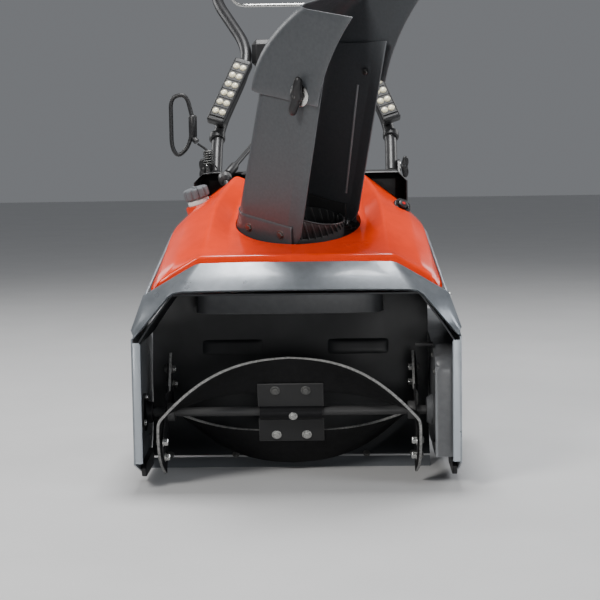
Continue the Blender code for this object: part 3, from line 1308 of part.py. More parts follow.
def build():
    side_plate("side_plate_left", -1)
    side_plate("side_plate_right", 1)
    housing_shell()
    front_trim()
    discharge_throat()
    scraper_bar()
    skid_shoe("skid_shoe_left", -1)
    skid_shoe("skid_shoe_right", 1)
    belt_cover()
    rotor_bearing_left()
    rotor(empty("rotor_axis", (ROTOR_X, ROTOR_Y, ROTOR_Z), ROOT))
    drive_belt()

    crank_axis = empty("crankshaft_axis", (0, CRANK_Y, CRANK_Z), ROOT)
    crankshaft(crank_axis)
    arm_axis = empty("idler_arm_axis", (BELT_X, *ARM_PIVOT), ROOT)
    roller_axis = empty("idler_pulley_axis", (BELT_X, *idler_place()), ROOT)
    idler(arm_axis, roller_axis)
    crankcase()
    cylinder()
    muffler()
    carburettor()
    fuel_tank()
    fuel_cap(empty("fuel_cap_axis", CAP_AT, ROOT))
    recoil_housing()
    starter_rope()
    starter_grip(empty("starter_grip_axis", GRIP_AT, ROOT))

    engine_hood()
    start_button(empty("start_button_axis", BUTTON_AT, ROOT))
    rear_cover()
    controls(empty("key_axis", (KEY_X, REAR_FACE, CONTROL_Z), ROOT),
             empty("choke_axis", (CHOKE_X, REAR_FACE, CONTROL_Z), ROOT),
             empty("primer_axis", (PRIMER_X, REAR_FACE, CONTROL_Z), ROOT))

    chassis_pan()
    for side, sign in (("left", -1), ("right", 1)):
        wheel(side, sign, empty(f"wheel_axis_{side}", (sign * WHEEL_X, WHEEL_Y, WHEEL_R), ROOT))
    lower_handle()

    worm_axis = empty("worm_axis", WORM_AT, ROOT)
    crank_worm(worm_axis)
    crank_rod(empty("crank_rod_axis", UNIVERSAL, ROOT))

    turn = Matrix.Rotation(RING_TILT, 3, "X") @ Matrix.Rotation(CHUTE_TURN, 3, "Z")
    swivel = empty("chute_swivel_axis", (0, RING_Y, RING_Z), ROOT, turn)
    chute_channel(swivel)
    chute_collar(swivel)
    hinge = empty("deflector_axis", (KNOB_X, 0, KNOB_H), swivel)
    hinge_parts(hinge)

    fold = empty("handle_fold_axis", (0, PIVOT_Y, PIVOT_Z), ROOT)
    upper_handle(fold)
    dash_panel(fold)
    light_bar("light_bar_left", -1, fold)
    light_bar("light_bar_right", 1, fold)
    bail_lever(empty("bail_axis", (0, BAIL_Y - PIVOT_Y, BAIL_Z - PIVOT_Z), fold))
    clutch_cable()
    for side, sign in (("left", -1), ("right", 1)):
        knob_face = HANDLE_X + TUBE_R + BRACKET_T + GAP
        axis = empty(f"fold_knob_axis_{side}", (sign * knob_face, PIVOT_Y, PIVOT_Z), ROOT)
        wing_knob(f"fold_knob_{side}", (sign * knob_face, PIVOT_Y, PIVOT_Z), (sign, 0, 0), 0.035, 0.022,
                  (0, -0.2, 1), axis, False)


def hinge_parts(hinge):
    """The deflector and its two knobs are modelled in the chute's frame."""
    swivel = hinge.parent
    piece = deflector(swivel)
    piece.parent = hinge
    piece.matrix_parent_inverse = hinge.matrix_basis.inverted()
    for side, sign in (("near", -1), ("far", 1)):
        face = sign * (CHUTE_HALF + CHUTE_T * 1.5 + RUNNING_GAP + GAP)
        axis = empty(f"deflector_knob_axis_{side}", (KNOB_X, face, KNOB_H), swivel)
        knob = wing_knob(f"deflector_knob_{side}", (KNOB_X, face, KNOB_H), (0, sign, 0), 0.012, 0.028,
                         (0.25, 0, 1), swivel, True)
        knob.parent = axis
        knob.matrix_parent_inverse = axis.matrix_basis.inverted()


build()
centre_on_origin()
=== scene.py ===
"""Looks of the snow blower: procedural materials, detailed pieces, studio light and camera."""
import json
import math

import bmesh
import bpy
from mathutils import Matrix, Vector


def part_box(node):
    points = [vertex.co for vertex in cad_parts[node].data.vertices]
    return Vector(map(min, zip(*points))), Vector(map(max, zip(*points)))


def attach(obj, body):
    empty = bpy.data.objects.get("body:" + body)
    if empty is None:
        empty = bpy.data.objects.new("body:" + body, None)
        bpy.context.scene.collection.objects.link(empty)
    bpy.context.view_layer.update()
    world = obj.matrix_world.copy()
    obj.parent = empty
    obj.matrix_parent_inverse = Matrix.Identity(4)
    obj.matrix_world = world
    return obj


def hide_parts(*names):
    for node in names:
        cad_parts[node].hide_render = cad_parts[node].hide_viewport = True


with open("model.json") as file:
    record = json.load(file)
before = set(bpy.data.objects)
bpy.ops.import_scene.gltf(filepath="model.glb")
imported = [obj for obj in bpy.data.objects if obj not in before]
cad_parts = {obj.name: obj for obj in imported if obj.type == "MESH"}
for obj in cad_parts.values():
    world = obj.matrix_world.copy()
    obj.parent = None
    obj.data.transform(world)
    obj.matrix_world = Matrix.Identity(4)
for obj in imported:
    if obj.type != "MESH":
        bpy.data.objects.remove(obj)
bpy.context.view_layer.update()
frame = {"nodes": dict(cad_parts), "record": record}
NODES = frame["nodes"]
FRONT_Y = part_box("side_plate_left")[0][1]
JOINTS = {joint["name"]: joint for joint in frame["record"]["behaviour"]["joints"]}

# ---- shared sizes, metres; Y counts from the housing's front edge
RING = Vector((0, 0.230, 0.442))
RING_TILT = math.radians(18)
CHUTE_TURN = math.radians(-39.6)
CHUTE_HALF = 0.0875
HOOD_HOLE_R = 0.114
GUARD_R = 0.08195
ROTOR = Vector((-0.014, 0.118, 0.1165))
ROTOR_R = 0.1142
ROTOR_HALF = 0.2245
PADDLE_TOP = math.radians(67)
PADDLE_END = math.radians(-60)
PADDLE_FLAT = 0.061
LIP_Z = 0.345
CAMERA_X = 0.09
CAMERA_AWAY = 2.6
CAMERA_Z = 0.60
CAMERA_LENS = 93.132


# ---- materials
def socket(shader, name, value):
    shader.inputs[name].default_value = value


def finish(name, colour, roughness, metallic=0.0, coat=0.0, spread=0.15, grain=120.0, bump=0.10,
           bump_scale=600.0, wear=None, rough_spread=0.12, specular=0.5):
    """A procedural surface: colour drift, fine bump, uneven gloss and, on painted metal, rubbed edges."""
    made = bpy.data.materials.get(name)
    if made:
        return made
    made = bpy.data.materials.new(name)
    made.use_nodes = True
    tree = made.node_tree
    add, link = tree.nodes.new, tree.links.new
    shader = tree.nodes["Principled BSDF"]
    socket(shader, "Metallic", metallic)
    socket(shader, "Coat Weight", coat)
    socket(shader, "Coat Roughness", 0.08)
    socket(shader, "Specular IOR Level", specular)
    place = add("ShaderNodeTexCoord")
    drift = add("ShaderNodeTexNoise")
    drift.inputs["Scale"].default_value = grain
    drift.inputs["Detail"].default_value = 6
    link(place.outputs["Object"], drift.inputs["Vector"])
    ramp = add("ShaderNodeValToRGB")
    ramp.color_ramp.elements[0].position = 0.30
    ramp.color_ramp.elements[1].position = 0.70
    ramp.color_ramp.elements[0].color = (*[c * (1 - spread) for c in colour], 1)
    ramp.color_ramp.elements[1].color = (*[min(1.0, c * (1 + spread)) for c in colour], 1)
    link(drift.outputs["Fac"], ramp.inputs["Fac"])
    base = ramp.outputs["Color"]
    if wear:
        edges = add("ShaderNodeNewGeometry")
        limit = add("ShaderNodeMapRange")
        limit.inputs["From Min"].default_value = 0.53
        limit.inputs["From Max"].default_value = 0.60
        link(edges.outputs["Pointiness"], limit.inputs["Value"])
        mix = add("ShaderNodeMix")
        mix.data_type = "RGBA"
        mix.inputs["B"].default_value = (*wear, 1)
        link(limit.outputs["Result"], mix.inputs["Factor"])
        link(base, mix.inputs["A"])
        base = mix.outputs["Result"]
    link(base, shader.inputs["Base Color"])
    gloss = add("ShaderNodeTexNoise")
    gloss.inputs["Scale"].default_value = grain * 0.4
    gloss.inputs["Detail"].default_value = 4
    link(place.outputs["Object"], gloss.inputs["Vector"])
    span = add("ShaderNodeMapRange")
    span.inputs["To Min"].default_value = max(0.02, roughness - rough_spread)
    span.inputs["To Max"].default_value = min(1.0, roughness + rough_spread)
    link(gloss.outputs["Fac"], span.inputs["Value"])
    link(span.outputs["Result"], shader.inputs["Roughness"])
    fine = add("ShaderNodeTexNoise")
    fine.inputs["Scale"].default_value = bump_scale
    fine.inputs["Detail"].default_value = 3
    link(place.outputs["Object"], fine.inputs["Vector"])
    relief = add("ShaderNodeBump")
    relief.inputs["Strength"].default_value = bump
    relief.inputs["Distance"].default_value = 0.001
    link(fine.outputs["Fac"], relief.inputs["Height"])
    link(relief.outputs["Normal"], shader.inputs["Normal"])
    return made


ORANGE = finish("hood_orange", (0.80, 0.036, 0.0), 0.22, coat=0.25, spread=0.05, grain=40, bump=0.03,
                bump_scale=350, specular=0.25)
TRIM = finish("trim_grey", (0.200, 0.218, 0.238), 0.32, metallic=0.60, coat=0.25, spread=0.08, grain=90,
              bump=0.06, bump_scale=900, wear=(0.34, 0.37, 0.40))
CHUTE = finish("chute_grey", (0.062, 0.067, 0.073), 0.38, spread=0.10, grain=200, bump=0.12,
               bump_scale=1500, wear=(0.17, 0.18, 0.19))
SHELL = finish("housing_dark", (0.010, 0.011, 0.0125), 0.40, specular=0.30, spread=0.25, grain=30,
               bump=0.08, bump_scale=500, wear=(0.05, 0.055, 0.06))
THROAT = finish("throat_grey", (0.085, 0.088, 0.093), 0.38, grain=60, bump=0.05, wear=(0.12, 0.125, 0.13))
COVER = finish("belt_cover_grey", (0.115, 0.119, 0.125), 0.34, spread=0.12, grain=80, bump=0.06,
               wear=(0.20, 0.21, 0.22))
BRACKET = finish("bracket_black", (0.006, 0.006, 0.007), 0.38, specular=0.2, metallic=0.1, spread=0.2,
                 bump=0.08, wear=(0.10, 0.10, 0.10))
PLASTIC = finish("plastic_black", (0.012, 0.012, 0.013), 0.42, spread=0.2, grain=300, bump_scale=1800)
TUBE = finish("tube_black", (0.011, 0.011, 0.012), 0.42, coat=0.1, grain=200, bump=0.05)
FOAM = finish("grip_foam", (0.014, 0.014, 0.014), 0.85, spread=0.3, grain=800, bump=0.5, bump_scale=2200)
RUBBER = finish("paddle_rubber", (0.006, 0.006, 0.0065), 0.60, specular=0.18, spread=0.3, grain=150,
                bump=0.25, bump_scale=900)
RUBBER_EDGE = finish("paddle_edge", (0.20, 0.20, 0.195), 0.62, spread=0.45, grain=260, bump=0.6,
                     bump_scale=900)
TYRE = finish("tyre_rubber", (0.014, 0.014, 0.014), 0.75, spread=0.3, grain=200, bump=0.3, bump_scale=700)
ZINC = finish("zinc", (0.62, 0.62, 0.60), 0.28, metallic=1.0, spread=0.1, grain=400, bump=0.05)
DULL = finish("dull_zinc", (0.16, 0.16, 0.155), 0.45, metallic=0.9, spread=0.2, grain=400, bump=0.08)
STEEL = finish("steel", (0.40, 0.41, 0.42), 0.35, metallic=1.0, spread=0.1, grain=300, bump=0.06)
SCRAPER = finish("scraper_grey", (0.060, 0.067, 0.076), 0.50, specular=0.3, grain=60,
                 wear=(0.14, 0.15, 0.16))
CAST = finish("cast_aluminium", (0.38, 0.38, 0.37), 0.48, metallic=0.9, grain=250, bump=0.35)
CAP = finish("cap_grey", (0.055, 0.062, 0.070), 0.48, spread=0.12, grain=300, bump=0.12, bump_scale=1500)
WHITE = finish("white_plastic", (0.60, 0.60, 0.57), 0.42, spread=0.05, grain=60, bump=0.05)
RED = finish("red_plastic", (0.45, 0.015, 0.012), 0.35, coat=0.3, spread=0.08, grain=60, bump=0.05)
GEAR = finish("gear_black", (0.020, 0.020, 0.021), 0.38, spread=0.2, grain=200, bump=0.08,
              wear=(0.09, 0.09, 0.09))
LENS = finish("led_lens", (0.86, 0.80, 0.58), 0.14, coat=1.0, grain=500, bump=0.25, bump_scale=700)
FLOOR = finish("floor", (0.62, 0.62, 0.62), 0.55, spread=0.02, grain=6, bump=0.02)


# ---- helpers
def put(name, mesh, material, body, replaces=(), matrix=None):
    """Show a mesh given in machine coordinates (Y from the housing's front) and hang it on its body."""
    made = bpy.data.objects.new(name, mesh)
    bpy.context.scene.collection.objects.link(made)
    if material is not None:
        mesh.materials.append(material)
    made.matrix_world = Matrix.Translation((0, FRONT_Y, 0)) @ (matrix or Matrix.Identity(4))
    bpy.context.view_layer.update()
    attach(made, body)
    if replaces:
        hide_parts(*replaces)
    return made


def mesh_of(bm, name, angle=35):
    bmesh.ops.recalc_face_normals(bm, faces=bm.faces)
    mesh = bpy.data.meshes.new(name)
    bm.to_mesh(mesh)
    bm.free()
    mesh.shade_smooth()
    mesh.set_sharp_from_angle(angle=math.radians(angle))
    return mesh


def round_edges(piece, width, segments=3, angle=35):
    made = piece.modifiers.new("edges", "BEVEL")
    made.width = width
    made.segments = segments
    made.limit_method = "ANGLE"
    made.angle_limit = math.radians(angle)
    made.use_clamp_overlap = True
    made.harden_normals = False
    return piece


def circle(radius, a):
    return radius * math.cos(a), radius * math.sin(a)


def skin(bm, rings, closed=True):
    """Quads between each ring of vertices and the next one."""
    for low, high in zip(rings, rings[1:]):
        count = len(low)
        for k in range(count if closed else count - 1):
            n = (k + 1) % count
            bm.faces.new((low[k], low[n], high[n], high[k]))


def grid_mesh(name, rows, closed=False, angle=35):
    bm = bmesh.new()
    skin(bm, [[bm.verts.new(p) for p in row] for row in rows], closed)
    return mesh_of(bm, name, angle)


def plate(name, rows, thickness, material, body, replaces=(), matrix=None, edge=0.0006, rim=None,
          closed=False, offset=0.0, angle=35):
    """A lofted sheet with thickness and rounded edges."""
    piece = put(name, grid_mesh(name, rows, closed, angle), material, body, replaces, matrix)
    wall = piece.modifiers.new("wall", "SOLIDIFY")
    wall.thickness = thickness
    wall.offset = offset
    wall.use_even_offset = True
    if rim:
        piece.data.materials.append(rim)
        wall.material_offset_rim = 1
    if edge:
        round_edges(piece, edge, 2, 50)
    return piece


def along(start, end):
    start, end = Vector(start), Vector(end)
    turn = (end - start).normalized().to_track_quat("Z", "Y").to_matrix().to_4x4()
    return Matrix.Translation(start) @ turn


def lathe(name, profile, start, end, material, body, steps=48, replaces=(), closed=False,
          matrix=None, angle=35):
    """Profile of (radius, distance) pairs turned about the line from start towards end."""
    bm = bmesh.new()
    rings = []
    for radius, height in profile:
        if radius < 1e-6:
            rings.append([bm.verts.new((0, 0, height))])
            continue
        rings.append([bm.verts.new((*circle(radius, 2 * math.pi * k / steps),
                                    height)) for k in range(steps)])
    pairs = list(zip(rings, rings[1:]))
    if closed:
        pairs.append((rings[-1], rings[0]))
    for low, high in pairs:
        for k in range(steps):
            n = (k + 1) % steps
            if len(low) == 1 and len(high) == 1:
                break
            if len(low) == 1:
                bm.faces.new((low[0], high[n], high[k]))
            elif len(high) == 1:
                bm.faces.new((low[k], low[n], high[0]))
            else:
                bm.faces.new((low[k], low[n], high[n], high[k]))
    place = (matrix or Matrix.Identity(4)) @ along(start, end)
    return put(name, mesh_of(bm, name, angle), material, body, replaces, place)


def pipe(name, path, radius, material, body, replaces=(), sides=5, cyclic=False, matrix=None):
    """A round bar along a path, as a mesh with rounded ends closed by caps."""
    curve = bpy.data.curves.new(name, "CURVE")
    curve.dimensions = "3D"
    curve.bevel_depth = radius
    curve.bevel_resolution = sides
    curve.use_fill_caps = not cyclic
    line = curve.splines.new("POLY")
    line.points.add(len(path) - 1)
    for point, place in zip(line.points, path):
        point.co = (*place, 1)
    line.use_cyclic_u = cyclic
    helper = bpy.data.objects.new(name + "_curve", curve)
    bpy.context.scene.collection.objects.link(helper)
    bpy.context.view_layer.update()
    mesh = bpy.data.meshes.new_from_object(helper.evaluated_get(bpy.context.evaluated_depsgraph_get()))
    bpy.data.objects.remove(helper, do_unlink=True)
    bm = bmesh.new()
    bm.from_mesh(mesh)
    bmesh.ops.remove_doubles(bm, verts=bm.verts, dist=1e-6)
    mesh = mesh_of(bm, name, 50)
    return put(name, mesh, material, body, replaces, matrix)


def spline(points, samples=8):
    points = [Vector(p) for p in points]
    ends = [2 * points[0] - points[1]] + points + [2 * points[-1] - points[-2]]
    path = []
    for a, b, c, d in zip(ends, ends[1:], ends[2:], ends[3:]):
        for k in range(samples):
            t = k / samples
            path.append(0.5 * ((2 * b) + (c - a) * t + (2 * a - 5 * b + 4 * c - d) * t * t
                               + (3 * b - a - 3 * c + d) * t ** 3))
    return path + [points[-1]]


def bends(points, radius, steps=9):
    points = [Vector(p) for p in points]
    path = [points[0]]
    for before, corner, after in zip(points, points[1:], points[2:]):
        back = (before - corner).normalized() * min(radius, (before - corner).length / 2.2)
        on = (after - corner).normalized() * min(radius, (after - corner).length / 2.2)
        for k in range(steps + 1):
            t = k / steps
            path.append(corner + back * (1 - t) ** 2 + on * t ** 2)
    return path + [points[-1]]


def flat_mesh(name, outline, thickness, matrix):
    """A closed outline extruded to both sides of its plane."""
    bm = bmesh.new()
    lower = [bm.verts.new(matrix @ Vector((u, v, -thickness / 2))) for u, v in outline]
    upper = [bm.verts.new(matrix @ Vector((u, v, thickness / 2))) for u, v in outline]
    bm.faces.new(lower[::-1])
    bm.faces.new(upper)
    skin(bm, [lower, upper])
    return mesh_of(bm, name, 35)


PLANE_X = Matrix(((0, 0, 1), (1, 0, 0), (0, 1, 0))).to_4x4()


def block(name, low, high, material, body, edge=0.001, replaces=(), matrix=None, segments=3):
    low, high = Vector(low), Vector(high)
    bm = bmesh.new()
    bmesh.ops.create_cube(bm, size=1)
    bmesh.ops.scale(bm, vec=high - low, verts=bm.verts)
    bmesh.ops.translate(bm, vec=(low + high) / 2, verts=bm.verts)
    return round_edges(put(name, mesh_of(bm, name), material, body, replaces, matrix), edge, segments)


def hex_bolt(name, at, way, size, material, body, washer=0.0, matrix=None, tall=0.62):
    """Hex head with a chamfered crown, standing on a washer, facing along way."""
    at, way = Vector(at), Vector(way).normalized()
    place = (matrix or Matrix.Identity(4)) @ along(at, at + way)
    bm = bmesh.new()
    height = size * tall
    rings = [(size, 0.0), (size, height * 0.82), (size * 0.84, height), (0.0, height)]
    made = []
    for radius, level in rings:
        if radius == 0:
            made.append([bm.verts.new((0, 0, level))])
        else:
            made.append([bm.verts.new((*circle(radius, math.pi / 3 * k), level)) for k in range(6)])
    for low, high in zip(made, made[1:]):
        for k in range(6):
            n = (k + 1) % 6
            if len(high) == 1:
                bm.faces.new((low[k], low[n], high[0]))
            else:
                bm.faces.new((low[k], low[n], high[n], high[k]))
    head = round_edges(put(name, mesh_of(bm, name, 20), material, body, matrix=place),
                       size * 0.06, 2, 25)
    if washer:
        lathe(name + "_washer", [(0.0, 0.0011), (washer * 0.93, 0.0011), (washer, 0.0006),
                                 (washer, -0.0004)], (0, 0, 0),
              (0, 0, 1), material, body, 32, matrix=place)
    return head


def dress(node, material):
    """A CAD node whose shape is right keeps it and takes a better surface."""
    piece = NODES[node]
    for k in range(max(1, len(piece.material_slots))):
        if piece.material_slots:
            piece.material_slots[k].material = material
        else:
            piece.data.materials.append(material)


def refine(node, material, body, width=0.0008, segments=2):
    """A copy of a CAD node with flat faces merged and its edges rounded, shown in its stead."""
    bm = bmesh.new()
    bm.from_mesh(NODES[node].data)
    bmesh.ops.remove_doubles(bm, verts=bm.verts, dist=1e-5)
    bmesh.ops.dissolve_limit(bm, angle_limit=math.radians(1.0), verts=bm.verts, edges=bm.edges)
    mesh = mesh_of(bm, node + "_skin", 35)
    piece = put(node + "_skin", mesh, material, body, (node,), Matrix.Translation((0, -FRONT_Y, 0)))
    return round_edges(piece, width, segments)


def mirrored(half):
    return [Vector((-p[0], p[1], p[2])) for p in reversed(half[1:])] + [Vector(p) for p in half]


def between(rows, steps):
    """Rows of a loft with smooth in-between rows added."""
    lines = [spline(column, steps) for column in zip(*rows)]
    return [list(row) for row in zip(*lines)]


def ring_frame():
    return Matrix.Translation(RING) @ Matrix.Rotation(RING_TILT, 4, "X")


CHUTE_FRAME = ring_frame() @ Matrix.Rotation(CHUTE_TURN, 4, "Z")


def boolean(piece, tool):
    made = piece.modifiers.new("cut", "BOOLEAN")
    made.operation = "DIFFERENCE"
    made.solver = "EXACT"
    made.object = tool
    bpy.context.view_layer.update()
    mesh = bpy.data.meshes.new_from_object(piece.evaluated_get(bpy.context.evaluated_depsgraph_get()))
    piece.modifiers.clear()
    piece.data = mesh
    mesh.shade_smooth()
    mesh.set_sharp_from_angle(angle=math.radians(40))
    return piece


def tool_rod(start, end, radius, steps=96):
    start, end = Vector(start), Vector(end)
    bm = bmesh.new()
    bmesh.ops.create_cone(bm, cap_ends=True, segments=steps, radius1=radius, radius2=radius,
                          depth=(end - start).length)
    bmesh.ops.translate(bm, vec=(0, 0, (end - start).length / 2), verts=bm.verts)
    mesh = bpy.data.meshes.new("tool")
    bm.to_mesh(mesh)
    bm.free()
    made = bpy.data.objects.new("tool", mesh)
    bpy.context.scene.collection.objects.link(made)
    made.matrix_world = Matrix.Translation((0, FRONT_Y, 0)) @ along(start, end)
    return made


# ---- auger housing
def front_trim():
    """Visor band: inward return, rolled lip, sloped face and a rounded crest."""
    corner = 0.2790
    lip = [(0, 0.0035, LIP_Z), (0.10, 0.0035, LIP_Z - 0.0004), (0.190, 0.0035, LIP_Z - 0.0016),
           (0.206, 0.0035, LIP_Z - 0.0040), (0.2165, 0.0035, LIP_Z - 0.0105), (0.2510, 0.0035, 0.2945),
           (corner - 0.0030, 0.0040, 0.2655)]
    crest = [(0, 0.050, 0.3860), (0.09, 0.050, 0.3860), (0.163, 0.050, 0.3848), (0.172, 0.0490, 0.3830),
             (0.181, 0.0480, 0.3785), (0.2595, 0.0275, 0.3335), (corner, 0.0060, 0.2760)]
    back = [(x * 0.996, y + 0.009, z - 0.0022) for x, y, z in lip]
    rows = [mirrored(back), mirrored([(x, y + 0.0018, z - 0.0016) for x, y, z in lip]), mirrored(lip)]
    for t in (0.06, 0.3, 0.5, 0.7, 0.94):
        rows.append([a.lerp(b, t) + Vector((0, -0.0022 * math.sin(math.pi * t),
                                            0.0006 * math.sin(math.pi * t)))
                     for a, b in zip(mirrored(lip), mirrored(crest))])
    rows.append(mirrored(crest))
    rows.append(mirrored([(x * 0.992, y + 0.005, z - 0.003) for x, y, z in crest]))
    return plate("trim_band", rows, 0.0026, TRIM, "chassis", ("front_trim",),
                 edge=0.0012, angle=50)


def side_plates():
    for side in ("left", "right"):
        refine(f"side_plate_{side}", TRIM, "chassis", 0.0011, 3)
        sign = -1 if side == "left" else 1
        for y, z in ((0.060, 0.070), (0.150, 0.060), (0.300, 0.300), (0.300, 0.120)):
            hex_bolt(f"side_bolt_{side}_{int(y * 1000)}_{int(z * 1000)}", (sign * 0.2788, y, z),
                     (sign, 0, 0), 0.0058, ZINC, "chassis", 0.0085)
        # rolled front edge of the plate
        path = [(sign * 0.2665, 0.0028, 0.048), (sign * 0.2665, 0.0028, 0.254)]
        pipe(f"plate_roll_{side}", path, 0.0022, TRIM, "chassis")


def housing():
    refine("housing_shell", SHELL, "chassis", 0.0010, 2)
    # long soft pads pressed into the back wall
    for k, (low, high) in enumerate(((-0.184, -0.068), (0.0485, 0.165))):
        rows = []
        for i in range(15):
            v = 2 * i / 14 - 1
            z = 0.2125 + 0.0150 * v
            y = 0.250 + (z - 0.1494) * 0.1554 - 0.0016
            row = []
            for j in range(49):
                u = 2 * j / 48 - 1
                rise = max(0.0, 1 - u ** 8) * max(0.0, 1 - v ** 4)
                row.append((low + (high - low) * j / 48, y + 0.0007 - 0.0030 * rise, z))
            rows.append(row)
        put(f"wall_pad_{k}", grid_mesh("pad", rows, False, 80), SHELL, "chassis")
    for k, x in enumerate((-0.24, -0.12, 0.0, 0.12, 0.205)):
        hex_bolt(f"scraper_bolt_{k}", (x, 0.2035, 0.0215), (0, -0.8, 0.6), 0.0045, DULL, "chassis", 0.0065)


def throat():
    x0, x1, y0, y1 = -0.186, 0.152, 0.166, 0.262
    steps = 96

    def mouth(z, grow):
        mid_x, mid_y = (x0 + x1) / 2, (y0 + y1) / 2
        half_y, half_x = (y1 - y0) / 2 + grow, (x1 - x0) / 2 + grow
        row = []
        for k in range(steps):
            a = 2 * math.pi * k / steps
            straight = (half_x - half_y) * max(-1, min(1, math.cos(a) * 1.6))
            row.append(Vector((mid_x + straight + half_y * math.cos(a), mid_y + half_y * math.sin(a), z)))
        return row

    def seat(h):
        return [ring_frame() @ Vector((*circle(0.078, 2 * math.pi * k / steps), h)) for k in range(steps)]

    rows = [mouth(0.2845, 0.0015), mouth(0.288, 0.0), mouth(0.349, 0.0), seat(-0.075), seat(-0.034)]
    return plate("throat_skin", rows, 0.0025, THROAT, "chassis", ("discharge_throat",),
                 edge=0.0008, closed=True, angle=50)


def small_housing_parts():
    refine("scraper_bar", SCRAPER, "chassis", 0.0010, 2)
    refine("skid_shoe_left", PLASTIC, "chassis", 0.0012, 2)
    refine("skid_shoe_right", PLASTIC, "chassis", 0.0012, 2)
    refine("belt_cover", COVER, "chassis", 0.0012, 3)
    # crowned front face of the belt cover
    edge = bends([(0, 0.0285, 0.051), (0, 0.0285, 0.2065), (0, 0.0405, 0.2222), (0, 0.118, 0.2318)], 0.012,
                 6)
    rows = []
    for before, at, after in zip([edge[0]] + edge, edge, edge[1:] + [edge[-1]]):
        run = after - before
        out = Vector((0, -run.z, run.y)).normalized()
        rows.append([at + out * (0.0030 * (1 - abs(2 * k / 16 - 1) ** 3) - 0.0012)
                     + Vector((0.2372 + 0.0382 * k / 16, 0, 0)) for k in range(17)])
    plate("cover_crown", rows, 0.0012, COVER, "chassis", edge=0.0004, angle=50)
    refine("rotor_bearing_left", BRACKET, "chassis", 0.0008, 2)
    for k in range(3):
        a = math.radians(90 + 120 * k)
        hex_bolt(f"bearing_bolt_{k}", (-0.2712, 0.118 + 0.027 * math.cos(a), 0.1165 + 0.027 * math.sin(a)),
                 (1, 0, 0), 0.0050, ZINC, "chassis", 0.0072)
    for k, (y, z) in enumerate(((0.050, 0.070), (0.048, 0.195), (0.110, 0.215), (0.175, 0.226),
                                (0.200, 0.075))):
        hex_bolt(f"cover_bolt_{k}", (0.2362, y, z), (-1, 0, 0), 0.0042, DULL, "chassis", 0.0062)
    # dark screw boss where the trim meets the belt cover
    lathe("cover_pin", [(0.0, 0.030), (0.0032, 0.030), (0.0042, 0.028), (0.0042, 0.0)],
          (0.2360, 0.10, 0.2356), (0.2, 0.10, 0.2356), BRACKET, "chassis", 24)


# ---- rotor
def paddle_angle(x):
    t = max(0.0, (abs(x) - PADDLE_FLAT) / (ROTOR_HALF - PADDLE_FLAT))
    return PADDLE_TOP * max(0.0, 1 - t ** 1.5) ** 0.9


def paddle_edge_angle(x):
    return math.radians(64) * (1 - (x / ROTOR_HALF) ** 2)


def smoothed(line):
    for _ in range(10):
        line = [line[0]] + [((a[0] + 2 * b[0] + c[0]) / 4, (a[1] + 2 * b[1] + c[1]) / 4)
                            for a, b, c in zip(line, line[1:], line[2:])] + [line[-1]]
    return [(x - 0.006 * max(0.0, (-a - 0.5) / 0.55) ** 2, a) for x, a in line]


